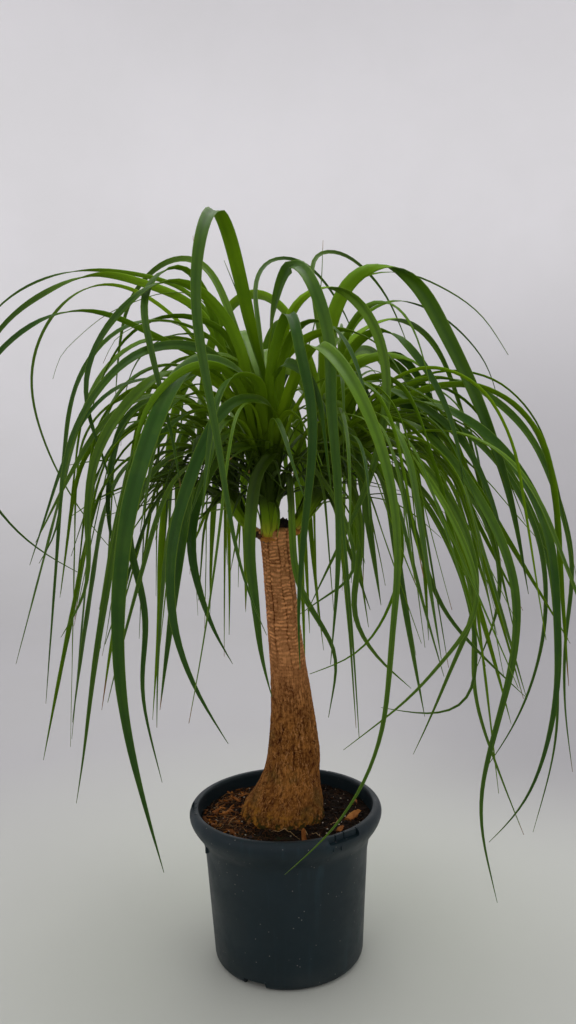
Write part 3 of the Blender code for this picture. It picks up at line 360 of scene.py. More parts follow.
# The colours of the marks on the finishes.
DULL_FILM = (0.12, 0.115, 0.1, 1.0)
DUST = (0.32, 0.3, 0.27, 1.0)
SOIL_MOSS = (0.016, 0.022, 0.006, 1.0)
UPPER_BARK_TINT = (1.14, 1.04, 0.98, 1.0)
LOWER_BARK_TINT = (0.53, 0.43, 0.225, 1.0)
BARK_OCHRE = (0.42, 0.18, 0.022, 1.0)
BARK_MOSS = (0.02, 0.026, 0.006, 1.0)
BARK_GREEN = (0.1, 0.09, 0.022, 1.0)
ROOT_ORANGE = (0.50, 0.25, 0.02, 1.0)
ROOT_GAP_SHADE = (0.018, 0.030, 0.002, 1.0)
DRY_TIP = (0.24, 0.13, 0.035, 1.0)
STAGE_PATCH = (0.5, 0.5, 0.48, 1.0)
STAGE_SHADOW = (0.36, 0.35, 0.37, 1.0)

# Where the stage's floor colour ends along its run out from the plant and up, how light the
# backdrop is beyond that, painted darker low down and lighter higher up as light from above, and
# where its glow sets in.
FLOOR_UNTIL = 0.03
STAGE_TONES = ((0.13, 0.84), (0.3, 0.9), (0.85, 1.18))
GLOW_FROM = 0.25
GLOW_TO = 0.9

# The stage's outline and the rounding where the floor turns up, in millimetres.
STAGE_OUTLINE = ((0.0, 0.0), (3400.0, 0.0), (3400.0, 4200.0))
STAGE_ROUNDING = 1300.0
STAGE_STEPS = 96

# The camera: its place in metres, how far it looks down and rolls in degrees, and its lens.

CAMERA_PLACE = (0.012, -1.05, 0.63)
CAMERA_DOWN = 5.6
CAMERA_ROLL = -1.5
CAMERA_LENS = 32.34


def catmull_rom(points, count):
    """A smooth run of count points through the given ones, evenly spaced along its length."""
    pts = [np.array(p, float) for p in points]
    pts = [2 * pts[0] - pts[1]] + pts + [2 * pts[-1] - pts[-2]]
    fine = []
    for a, b, c, d in zip(pts, pts[1:], pts[2:], pts[3:]):
        t1 = np.linalg.norm(b - a) ** 0.5
        t2 = t1 + np.linalg.norm(c - b) ** 0.5
        t3 = t2 + np.linalg.norm(d - c) ** 0.5
        for i in range(CURVE_STEPS):
            t = t1 + (t2 - t1) * i / CURVE_STEPS
            ab = (t1 - t) / t1 * a + t / t1 * b
            bc = (t2 - t) / (t2 - t1) * b + (t - t1) / (t2 - t1) * c
            cd = (t3 - t) / (t3 - t2) * c + (t - t2) / (t3 - t2) * d
            abc = (t2 - t) / t2 * ab + t / t2 * bc
            bcd = (t3 - t) / (t3 - t1) * bc + (t - t1) / (t3 - t1) * cd
            fine.append((t2 - t) / (t2 - t1) * abc + (t - t1) / (t2 - t1) * bcd)
    fine.append(pts[-2])
    return evenly(np.array(fine), count)


def distances(line):
    """How far along the line each of its points is."""
    return np.concatenate([[0], np.cumsum(np.linalg.norm(np.diff(line, axis=0), axis=1))])


def at_distances(where, along, line):
    """The line's points at the distances in where."""
    return np.stack([np.interp(where, along, line[:, k]) for k in range(3)], axis=-1)


def evenly(line, count):
    """The same line with count points evenly spaced along it."""
    along = distances(line)
    return at_distances(np.linspace(0, along[-1], count), along, line)


def stem_line(head, count=25):
    return catmull_rom(STEMS[head][0], count)


def stem_point(head, share):
    line = stem_line(head)
    at = (0.3 + 0.7 * share) * (len(line) - 1)
    low = int(at)
    high = min(low + 1, len(line) - 1)
    return line[low] + (line[high] - line[low]) * (at - low)


def wavering(x, y, z, size=1.0):
    """Smooth noise from -1 to 1 at a place, with patches of about the given size."""
    return noise.noise(Vector((x, y, z)) / size)


def smooth_step(x):
    x = min(max(x, 0.0), 1.0)
    return x * x * (3 - 2 * x)


def fade(values, low, high):
    """0 where values are at low or under it, 1 at high or over it, smooth between."""
    x = ((np.asarray(values, float) - low) / (high - low)).clip(0, 1)
    return x * x * (3 - 2 * x)


def drawn_route(rng, head, heading, rise, length, turn, hangs=HANGS):
    """A leaf that climbs at the given rise, turns over and hangs."""
    points = [stem_point(head, rng.uniform(0.2, 1.0))]
    drift = rng.uniform(-DRIFT, DRIFT)
    hang = rng.uniform(*hangs)
    step = length / CURVE_STEPS
    for i in range(1, CURVE_STEPS + 1):
        share = i / CURVE_STEPS
        turned = smooth_step((share - turn * 0.5) / (turn * 1.5 + 0.22))
        slope = math.radians(rise + (hang - rise) * turned)
        way = math.radians(heading + drift * share * share)
        flat = math.cos(slope) * step
        move = np.array([math.cos(way) * flat, math.sin(way) * flat, math.sin(slope) * step])
        points.append(points[-1] + move)
    return points[::3]


def drawn_leaves(rng, rows):
    """The leaves of the rule's rows, each as head, half width in cm, midline and twist."""
    leaves = []
    for head, count, headings, rises, lengths, widths, turns, *hangs in rows:
        for i in range(count):
            spread = (i * GOLDEN + rng.uniform(0, 0.12)) % 1.0
            heading = headings[0] + (headings[1] - headings[0]) * spread
            shape = [rng.uniform(*pair) for pair in (rises, lengths, turns)]
            points = drawn_route(rng, head, heading, *shape, *hangs)
            width = rng.uniform(*widths)
            line = catmull_rom(points, SAMPLES)
            leaves.append((head, width * HALF_CM, line, rng.uniform(-TWIST, TWIST)))
    return leaves


def placed_leaves(rows):
    """The leaves of a table's rows, each as head, half width in cm, midline and no twist yet."""
    leaves = []
    for head, width, start, *route in rows:
        root = stem_point(head, start)
        lead = stem_point(head, 1.0)
        points = [root] + [np.array(p, float) for p in route]
        if start < 0.95 and route[0][2] > lead[2] + 5:
            out = points[1] - lead
            points.insert(1, lead + out / np.linalg.norm(out) * 1.5)
        leaves.append((head, width * HALF_CM, catmull_rom(points, SAMPLES), None))
    return leaves


def unit(v):
    return v / np.maximum(np.linalg.norm(v, axis=-1, keepdims=True), 1e-9)


def across_vectors(lines, twists):
    """The direction across each blade at each sample, carried along without spin."""
    tangents = unit(np.gradient(lines, axis=1))
    outward = lines[:, 12] - lines[:, 0]
    outward[:, 2] = 0
    face = np.array([0, 0, 0.25]) - unit(outward)
    face = unit(face - (face * tangents[:, 0]).sum(-1, keepdims=True) * tangents[:, 0])
    faces = [face]
    for k in range(1, lines.shape[1]):
        step = tangents[:, k]
        face = unit(face - (face * step).sum(-1, keepdims=True) * step)
        faces.append(face)
    faces = np.stack(faces, axis=1)
    share = np.linspace(0, 1, lines.shape[1])
    turn = np.radians(twists)[:, None] * (share * share * (3 - 2 * share))[None, :]
    side = np.cross(tangents, faces)
    across = side * np.cos(turn)[..., None] + faces * np.sin(turn)[..., None]
    return tangents, unit(across)


def turn_to_front(lines, twists):
    """The twist in degrees that turns each leaf without one of its own towards the front."""
    place = int(FACING_SHARE * SAMPLES)
    tangents, across = across_vectors(lines, np.zeros(len(lines)))
    result = []
    for ahead, side, twist in zip(tangents[:, place], across[:, place], twists):
        if twist is None:
            wanted = np.array([1.0, 0, 0])
            wanted = unit(wanted - wanted @ ahead * ahead)
            face = np.cross(side, ahead)
            angle = math.degrees(math.atan2(wanted @ face, wanted @ side))
            angle = (angle + 90) % 180 - 90
            eased = FACING_SHARE * FACING_SHARE * (3 - 2 * FACING_SHARE)
            twist = angle * 0.9 / eased
        result.append(twist)
    return np.array(result)


def trunk_centre(z):
    """The x of the trunk's middle at the heights z."""
    heights, _, centres = zip(*TRUNK)
    return np.interp(z, heights, centres)


def near_pairs(lines, reach):
    """Pairs of samples on different leaves that are closer together than reach."""
    leaf_count, samples, _ = lines.shape
    tree = kdtree.KDTree(leaf_count * samples)
    flat = lines.reshape(-1, 3)
    for index, point in enumerate(flat):
        tree.insert(point, index)
    tree.balance()
    first = []
    second = []
    for index, point in enumerate(flat):
        leaf = index // samples
        for _, other, _ in tree.find_range(point, reach):
            if other // samples > leaf:
                first.append(index)
                second.append(other)
    return np.array(first), np.array(second)


def keep_off_solids(flat, half, owner_head):
    """Moves points out of the trunk, the pot, the floor and the other heads' stems."""
    heights, diameters, _ = zip(*TRUNK)
    radius = np.interp(flat[:, 2], heights, np.array(diameters) / 2, left=0, right=0)
    move = np.zeros_like(flat)

    def push_out(away, least, near):
        far = np.linalg.norm(away, axis=1)
        lack = np.where(near, least + half + SOLID_GAP - far, 0).clip(0, LARGEST_PUSH)
        move[:, :2] += away / np.maximum(far, 1e-6)[:, None] * lack[:, None]

    middle = np.stack([trunk_centre(flat[:, 2]), np.zeros(len(flat))], axis=1)
    push_out(flat[:, :2] - middle, radius, (flat[:, 2] < TRUNK_TOP) & (radius > 0))
    push_out(flat[:, :2], COLLAR_WIDEST / 10, flat[:, 2] < POT_HEIGHT / 10 + POT_ROOM)
    move[:, 2] += (LEAST_HEIGHT - flat[:, 2]).clip(0, LARGEST_PUSH)
    for head, (_, foot, top) in STEMS.items():
        foreign = owner_head != head
        for point in stem_line(head, STEM_POINTS):
            gap = flat - point
            far = np.linalg.norm(gap, axis=1)
            lack = np.where(foreign, max(foot, top) + half + STEM_GAP - far, 0).clip(0, 1)
            move += gap / np.maximum(far, 1e-6)[:, None] * lack[:, None]
    return move


def eased_move(lines, push, freedom):
    """Moves the lines by a smoothed push and relaxes them a little."""
    samples = lines.shape[1]
    kernel = np.hanning(PUSH_WINDOW)[1:-1]
    kernel = kernel / kernel.sum()
    reach = len(kernel) // 2
    padded = np.pad(push, ((0, 0), (reach, reach), (0, 0)), mode="edge")
    soft = sum(kernel[k] * padded[:, k:k + samples] for k in range(len(kernel)))
    lines = lines + (soft * 1.5 + push * 0.15) * freedom[..., None]
    padded = np.pad(lines, ((0, 0), (1, 1), (0, 0)), mode="reflect", reflect_type="odd")
    relaxed = (padded[:, :-2] + padded[:, 2:]) / 2
    return lines + (relaxed - lines) * RELAXING * freedom[..., None]


def root_freedom(lines):
    """How far each sample may move: nothing at a leaf's root, freely further out."""
    lengths = np.linalg.norm(np.diff(lines, axis=1), axis=2).sum(axis=1)
    along = np.linspace(0, 1, lines.shape[1])[None, :] * lengths[:, None]
    return ((along - ROOT_FIXED) / (ROOT_FREE - ROOT_FIXED)).clip(0, 1)


def bend_clear(lines, halves, twists, heads):
    """Bends the leaves apart where their blades would meet; the roots stay where they are."""
    count, samples, _ = lines.shape
    freedom = root_freedom(lines)
    head_of = np.repeat(np.array(heads), samples)
    half = (halves[:, None] * np.interp(np.linspace(0, 1, samples), *CAD_WIDTHS)[None, :]).reshape(-1)
    free = freedom.reshape(-1)
    for turn in range(CLEAR_ROUNDS):
        if turn % PAIRS_EVERY == 0:
            first, second = near_pairs(lines, PAIR_REACH)
            other_head = head_of[first] != head_of[second]
            useful = other_head | ((free[first] > PAIR_FREEDOM) & (free[second] > PAIR_FREEDOM))
            first = first[useful]
            second = second[useful]
            other_head = other_head[useful]
        tangents, across = across_vectors(lines, twists)
        flat = lines.reshape(-1, 3)
        tan = tangents.reshape(-1, 3)
        side = across.reshape(-1, 3)
        gap = flat[second] - flat[first]
        normal = np.cross(tan[first], tan[second])
        crossing = np.linalg.norm(normal, axis=1)
        mean = unit(tan[first] + tan[second] * np.sign((tan[first] * tan[second]).sum(-1, keepdims=True)))
        beside = unit(gap - (gap * mean).sum(-1, keepdims=True) * mean)
        normal = np.where((crossing > CROSSING_SINE)[:, None], unit(normal), beside)
        apart = (gap * normal).sum(-1)
        normal = normal * np.where(apart < 0, -1.0, 1.0)[:, None]
        apart = np.abs(apart)
        in_plane = np.linalg.norm(gap - apart[:, None] * normal, axis=1)
        reach_in_plane = np.where(crossing > CROSSING_SINE, half[first] + half[second] + 0.5, 0.9)
        need = half[first] * np.abs((side[first] * normal).sum(-1))
        need = need + half[second] * np.abs((side[second] * normal).sum(-1))
        need = need + np.where(other_head, CLEAR_GAP, OWN_HEAD_GAP)
        lack = np.where(in_plane < reach_in_plane, need - apart, 0).clip(0, 1.2)
        share_first = free[first] / np.maximum(free[first] + free[second], 1e-6)
        push = np.zeros_like(flat)
        hits = np.zeros(len(flat))
        np.add.at(push, first, -normal * (lack * share_first)[:, None])
        np.add.at(push, second, normal * (lack * (1 - share_first))[:, None])
        np.add.at(hits, first, lack > 0)
        np.add.at(hits, second, lack > 0)
        push = push / np.maximum(hits, 1)[:, None]
        push += keep_off_solids(flat, half, head_of)
        lines = eased_move(lines, push.reshape(count, samples, 3), freedom)
    return lines


def thin_leaves():
    """The fine thin leaves, kept off the pot, the trunk and the other heads' stems."""
    heads, halves, lines, twists = zip(*drawn_leaves(random.Random(THIN_SEED), THIN))
    lines = np.stack(lines)
    half = np.repeat(halves, SAMPLES)
    head_of = np.repeat(heads, SAMPLES)
    freedom = root_freedom(lines)
    for _ in range(THIN_ROUNDS):
        push = keep_off_solids(lines.reshape(-1, 3), half, head_of)
        lines = eased_move(lines, push.reshape(lines.shape), freedom)
    thin = [leaf for leaf in zip(heads, halves, lines, twists) if not hides_trunk(leaf[2])]
    thin += [(*leaf[:3], 0.0) for leaf in placed_leaves(WISPS)]
    return [(*leaf, 0.0, None) for leaf in thin]


def hides_trunk(line):
    """Whether a leaf hangs in front of the bare trunk, which the picture shows open."""
    beside = np.abs(line[:, 0] - trunk_centre(line[:, 2]))
    return bool(np.any((line[:, 2] < 51) & (beside < TRUNK_KEPT_OPEN) & (line[:, 1] < 0)))


def grown_leaves():
    """All leaves: head, half width in cm, midline, twist, share turned to the front and number."""
    leaves = placed_leaves(LEAVES) + drawn_leaves(random.Random(DRAW_SEED), DRAWN)
    heads, halves, lines, twists = zip(*leaves)
    lines = np.stack(lines)
    lines = bend_clear(lines, np.array(halves), turn_to_front(lines, twists), heads)
    grown = []
    for number, line in enumerate(lines):
        if number not in LEFT_OUT:
            facing = FACING if number < len(LEAVES) else FACING_DRAWN
            grown.append((heads[number], halves[number], line, twists[number] or 0.0, facing, number))
    return grown + thin_leaves()


def link_nodes(tree, kind, inputs=None, **settings):
    """A new node with its settings made and its inputs set or linked."""
    made = tree.nodes.new(kind)
    for name, value in settings.items():
        setattr(made, name, value)
    for key, value in (inputs or {}).items():
        if isinstance(value, bpy.types.NodeSocket):
            tree.links.new(value, made.inputs[key])
        else:
            made.inputs[key].default_value = value
    return made


def mix_colours(tree, factor, low, high, blend="MIX"):
    """The colour between low and high, or blended that way."""
    made = link_nodes(tree, "ShaderNodeMix", {0: factor, 6: low, 7: high}, data_type="RGBA", blend_type=blend)
    return made.outputs[2]


def arithmetic(tree, operation, first, second=0.0, third=0.0, clamp=False):
    inputs = {0: first, 1: second, 2: third}
    return link_nodes(tree, "ShaderNodeMath", inputs, operation=operation, use_clamp=clamp).outputs[0]


def vector_math(tree, operation, inputs):
    return link_nodes(tree, "ShaderNodeVectorMath", inputs, operation=operation).outputs[0]


def times(tree, first, second):
    return arithmetic(tree, "MULTIPLY", first, second)


def spread_range(tree, value, low, high, to_low=0.0, to_high=1.0):
    """The value's run from low to high, smoothly spread from to_low to to_high."""
    inputs = {0: value, 1: low, 2: high, 3: to_low, 4: to_high}
    return link_nodes(tree, "ShaderNodeMapRange", inputs, interpolation_type="SMOOTHSTEP").outputs[0]


def noise_value(tree, vector, scale, detail=3.0, roughness=0.55):
    inputs = {"Vector": vector, "Scale": scale, "Detail": detail, "Roughness": roughness}
    return link_nodes(tree, "ShaderNodeTexNoise", inputs).outputs[0]


def stretched(tree, vector, scale):
    """The coordinates scaled by a different amount along each axis."""
    return link_nodes(tree, "ShaderNodeMapping", {"Vector": vector, "Scale": scale}).outputs[0]


def object_place(tree):
    return tree.nodes.new("ShaderNodeTexCoord").outputs["Object"]


def split_axes(tree, place):
    return link_nodes(tree, "ShaderNodeSeparateXYZ", {0: place}).outputs


def away_from_middle(tree, axes):
    """The distance from the upright line through the origin."""
    flat = link_nodes(tree, "ShaderNodeCombineXYZ", {0: axes[0], 1: axes[1]}).outputs[0]
    return link_nodes(tree, "ShaderNodeVectorMath", {0: flat}, operation="LENGTH").outputs["Value"]


def surface_value(tree, name):
    """A value that the mesh holds at each vertex."""
    return link_nodes(tree, "ShaderNodeAttribute", attribute_name=name).outputs["Fac"]


def colour_steps(tree, value, steps):
    """A colour that runs through the steps, each a place and a colour."""
    ramp = link_nodes(tree, "ShaderNodeValToRGB", {0: value})
    elements = ramp.color_ramp.elements
    while len(elements) < len(steps):
        elements.new(0.5)
    for element, (place, colour) in zip(elements, steps):
        element.position = place
        element.color = (*colour, 1.0)
    return ramp.outputs[0]


def new_group(name, inputs, outputs):
    """An empty shader node group with its inputs (name, kind, default) and outputs."""
    group = bpy.data.node_groups.new(name, "ShaderNodeTree")
    for label, kind, default in inputs:
        socket = group.interface.new_socket(label, in_out="INPUT", socket_type=kind)
        if default is not None:
            socket.default_value = default
    for label, kind in outputs:
        group.interface.new_socket(label, in_out="OUTPUT", socket_type=kind)
    entry = group.nodes.new("NodeGroupInput")
    leave = group.nodes.new("NodeGroupOutput")
    return group, entry.outputs, leave.inputs


def speckle_group():
    """Small scattered specks: Mask is 1 on a speck."""
    group, given, result = new_group(
        "speckle",
        (
            ("Vector", "NodeSocketVector", None),
            ("Scale", "NodeSocketFloat", 300.0),
            ("Share", "NodeSocketFloat", 0.1),
        ),
        (("Mask", "NodeSocketFloat"),),
    )
    cells = link_nodes(group, "ShaderNodeTexVoronoi", {"Vector": given["Vector"], "Scale": given["Scale"]})
    dot = spread_range(group, cells.outputs["Distance"], 0.28, 0.12)
    pick = link_nodes(group, "ShaderNodeSeparateColor", {0: cells.outputs["Color"]}).outputs[0]
    chosen = arithmetic(group, "LESS_THAN", pick, given["Share"])
    group.links.new(times(group, dot, chosen), result["Mask"])
    return group


def mottle_group():
    """Soft uneven patches: Value runs between Low and High."""
    group, given, result = new_group(
        "mottle",
        (
            ("Vector", "NodeSocketVector", None),
            ("Scale", "NodeSocketFloat", 20.0),
            ("Low", "NodeSocketFloat", 0.0),
            ("High", "NodeSocketFloat", 1.0),
        ),
        (("Value", "NodeSocketFloat"),),
    )
    value = noise_value(group, given["Vector"], given["Scale"], 4.0, 0.6)
    group.links.new(spread_range(group, value, 0.3, 0.7, given["Low"], given["High"]), result["Value"])
    return group


def grain_group():
    """A fine grain raised from the surface: Height for a Bump node."""
    group, given, result = new_group(
        "fine_grain",
        (("Vector", "NodeSocketVector", None), ("Scale", "NodeSocketFloat", 400.0)),
        (("Height", "NodeSocketFloat"),),
    )
    group.links.new(noise_value(group, given["Vector"], given["Scale"], 5.0, 0.65), result["Height"])
    return group


def blade_lines_group():
    """Parallel veins of a blade: Vein is 1 in the thin lines between them, Edge at its margins."""
    group, given, result = new_group(
        "blade_lines",
        (("Across", "NodeSocketFloat", 0.5), ("Lines", "NodeSocketFloat", 14.0)),
        (("Vein", "NodeSocketFloat"), ("Edge", "NodeSocketFloat")),
    )
    wave = arithmetic(group, "PINGPONG", times(group, given["Across"], given["Lines"]), 0.5)
    group.links.new(spread_range(group, wave, 0.16, 0.02), result["Vein"])
    off_middle = arithmetic(group, "ABSOLUTE", arithmetic(group, "SUBTRACT", given["Across"], 0.5))
    group.links.new(spread_range(group, off_middle, 0.43, 0.49), result["Edge"])
    return group


def shared(name):
    """The named node group, built the first time that it is asked for."""
    makers = {
        "speckle": speckle_group,
        "mottle": mottle_group,
        "fine_grain": grain_group,
        "blade_lines": blade_lines_group,
    }
    return bpy.data.node_groups.get(name) or makers[name]()


def use_group(tree, name, inputs):
    return link_nodes(tree, "ShaderNodeGroup", inputs, node_tree=shared(name)).outputs


def mottled(tree, place, scale, low, high):
    return use_group(tree, "mottle", {"Vector": place, "Scale": scale, "Low": low, "High": high})["Value"]


def new_material(name, specular, roughness=0.5):
    material = bpy.data.materials.new(name)
    material.use_nodes = True
    shader = material.node_tree.nodes["Principled BSDF"]
    shader.inputs["Roughness"].default_value = roughness
    shader.inputs["Specular IOR Level"].default_value = specular
    return material, material.node_tree, shader


def raise_surface(tree, shader, height, strength, distance):
    """Feeds the shader's normal from a height."""
    inputs = {"Height": height, "Strength": strength, "Distance": distance}
    bump = link_nodes(tree, "ShaderNodeBump", inputs)
    tree.links.new(bump.outputs[0], shader.inputs["Normal"])


def shaded(colour, share):
    """The colour made darker or lighter by a share."""
    return tuple(c * share for c in colour)


def rgba(colour, share=1.0):
    return (*shaded(colour, share), 1.0)


def pot_plastic(settings):
    """Dark blue-grey moulded plastic with dust, scuffs and a dull film low down."""
    material, tree, shader = new_material("pot_plastic_worn", 0.3)
    place = object_place(tree)
    height = split_axes(tree, place)[2]
    patches = mottled(tree, place, 16.0, 0.0, 0.5)
    lighter = tuple(min(1.0, c * 1.5 + 0.002) for c in settings.colour)
    colour = mix_colours(tree, patches, rgba(settings.colour), rgba(lighter))
    streaks = noise_value(tree, stretched(tree, place, (60.0, 60.0, 3.0)), 1.0, 4.0, 0.6)
    streaks = spread_range(tree, streaks, 0.56, 0.74, 0.0, 0.35)
    colour = mix_colours(tree, streaks, colour, rgba(lighter, 2.1))
    low_film = spread_range(tree, height, 0.035, 0.0, 0.0, 0.35)
    film = times(tree, low_film, patches)
    colour = mix_colours(tree, film, colour, DULL_FILM)
    dust = use_group(tree, "speckle", {"Vector": place, "Scale": 330.0, "Share": settings.dust})["Mask"]
    colour = mix_colours(tree, times(tree, dust, 0.55), colour, DUST)
    tree.links.new(colour, shader.inputs["Base Color"])
    gloss = mottled(tree, place, 34.0, 0.42, 0.56)
    gloss = arithmetic(tree, "ADD", gloss, times(tree, dust, 0.3))
    tree.links.new(gloss, shader.inputs["Roughness"])
    grain = use_group(tree, "fine_grain", {"Vector": place, "Scale": 700.0})["Height"]
    raise_surface(tree, shader, grain, 0.18, 0.0004)
    return material


def earth_dark(settings):
    """Damp dark soil with lighter crumbs and a mossy tint near the trunk's front."""
    material, tree, shader = new_material("earth_dark", 0.15, 0.95)
    place = object_place(tree)
    value = noise_value(tree, place, 260.0, 6.0, 0.7)
    colour = colour_steps(
        tree,
        value,
        (
            (0.30, shaded(settings.colour, 0.35)),
            (0.50, tuple(settings.colour)),
            (0.66, (0.035, 0.016, 0.007)),
            (0.80, (0.13, 0.06, 0.022)),
        ),
    )
    moss = mottled(tree, place, 55.0, 0.0, 0.8)
    axes = split_axes(tree, place)
    near = spread_range(tree, axes[1], -0.045, -0.065)
    side = spread_range(tree, axes[0], 0.03, -0.01)
    tint = times(tree, times(tree, near, side), moss)
    colour = mix_colours(tree, tint, colour, SOIL_MOSS)
    tree.links.new(colour, shader.inputs["Base Color"])
    raise_surface(tree, shader, value, 0.9, 0.0022)
    return material


def toned_bits(name, steps, grain_scale):
    """A finish for loose bits, with a colour of its own for each bit and a grain."""
    material, tree, shader = new_material(name, 0.2, 0.85)
    place = object_place(tree)
    tone = surface_value(tree, "tone")
    uneven = noise_value(tree, place, grain_scale, 4.0, 0.6)
    uneven = arithmetic(tree, "MULTIPLY_ADD", uneven, 0.5, -0.25)
    colour = colour_steps(tree, arithmetic(tree, "ADD", tone, uneven, clamp=True), steps)
    tree.links.new(colour, shader.inputs["Base Color"])
    grain = use_group(tree, "fine_grain", {"Vector": place, "Scale": grain_scale * 2})["Height"]
    raise_surface(tree, shader, grain, 0.5, 0.0006)
    return material


def bark_cork(settings):
    """Corky bark: light ridges, dark cracks, ochre and mossy patches round the foot."""
    material, tree, shader = new_material("bark_cork", 0.08, 0.88)
    place = object_place(tree)
    axes = split_axes(tree, place)
    tone = surface_value(tree, "tone")
    lower = spread_range(tree, axes[2], 0.40, 0.27)
    fine = noise_value(tree, stretched(tree, place, (1.0, 1.0, 0.5)), 700.0, 5.0, 0.7)
    sway = link_nodes(tree, "ShaderNodeTexNoise", {0: place, "Scale": 55.0, "Detail": 2.0}).outputs["Color"]
    sway = vector_math(tree, "SUBTRACT", {0: sway, 1: (0.5, 0.5, 0.5)})
    sway = vector_math(tree, "SCALE", {0: sway, "Scale": 0.02})
    swayed = vector_math(tree, "ADD", {0: place, 1: sway})
    streaks = noise_value(tree, stretched(tree, swayed, (1.0, 1.0, 0.10)), 620.0, 4.0, 0.7)
    worn = noise_value(tree, stretched(tree, place, (1.0, 1.0, 0.45)), 75.0, 3.0, 0.6)
    kept = times(tree, spread_range(tree, worn, 0.60, 0.46, 0.25, 1.0), lower)
    cracks = times(tree, spread_range(tree, streaks, 0.47, 0.38), kept)
    ridges = times(tree, spread_range(tree, streaks, 0.53, 0.62), kept)
    streaks = times(tree, arithmetic(tree, "SUBTRACT", streaks, 0.5), kept)
    blotch = noise_value(tree, stretched(tree, swayed, (1.0, 1.0, 0.5)), 190.0, 3.0, 0.6)
    blotch = times(tree, arithmetic(tree, "SUBTRACT", blotch, 0.5), lower)
    tone = arithmetic(tree, "MULTIPLY_ADD", blotch, 1.1, tone)
    fine = arithmetic(tree, "MULTIPLY_ADD", streaks, 2.0, fine)
    value = arithmetic(tree, "ADD", tone, arithmetic(tree, "MULTIPLY_ADD", fine, 0.6, -0.3), clamp=True)
    light = tuple(settings.light_colour)
    dark = tuple(settings.dark_colour)
    middle = tuple((a + b) * 0.42 for a, b in zip(light, dark))
    steps = ((0.02, shaded(dark, 0.4)), (0.22, dark), (0.5, middle), (0.88, light))
    colour = colour_steps(tree, value, steps)
    duller = mix_colours(tree, lower, UPPER_BARK_TINT, LOWER_BARK_TINT)
    colour = mix_colours(tree, 1.0, colour, duller, "MULTIPLY")
    colour = mix_colours(tree, times(tree, cracks, 0.45), colour, rgba(dark, 0.3))
    colour = mix_colours(tree, times(tree, ridges, 0.5), colour, rgba(light, 0.8))
    patch = spread_range(tree, noise_value(tree, place, 95.0, 3.0, 0.6), 0.5, 0.62, 0.0, 0.9)
    foot = spread_range(tree, axes[2], 0.195, 0.178)
    left = spread_range(tree, axes[0], 0.02, -0.02, 0.55, 1.0)
    ochre = times(tree, times(tree, foot, left), patch)
    colour = mix_colours(tree, ochre, colour, BARK_OCHRE)
    moss = spread_range(tree, noise_value(tree, place, 130.0, 3.0, 0.6), 0.49, 0.58, 0.0, 0.9)
    moss = times(tree, moss, spread_range(tree, axes[2], 0.184, 0.172))
    colour = mix_colours(tree, moss, colour, BARK_MOSS)
    green = noise_value(tree, place, 30.0)
    green = times(tree, spread_range(tree, green, 0.52, 0.68, 0.0, 0.3), lower)
    colour = mix_colours(tree, green, colour, BARK_GREEN)
    tree.links.new(colour, shader.inputs["Base Color"])
    raise_surface(tree, shader, fine, 0.75, 0.0009)
    return material


def crown_skin():
    """The heads' stems: a corky orange foot that turns yellow and then green."""
    material, tree, shader = new_material("crown_skin", 0.4, 0.55)
    place = object_place(tree)
    rise = surface_value(tree, "rise")
    uneven = noise_value(tree, place, 160.0, 4.0, 0.6)
    value = arithmetic(tree, "ADD", rise, arithmetic(tree, "MULTIPLY_ADD", uneven, 0.3, -0.15), clamp=True)
    steps = (
        (0.02, (0.1, 0.04, 0.012)),
        (0.08, (0.5, 0.19, 0.012)),
        (0.15, (0.5, 0.36, 0.02)),
        (0.30, (0.16, 0.2, 0.012)),
        (0.60, (0.02, 0.045, 0.003)),
    )
    tree.links.new(colour_steps(tree, value, steps), shader.inputs["Base Color"])
    raise_surface(tree, shader, uneven, 0.4, 0.0006)
    return material


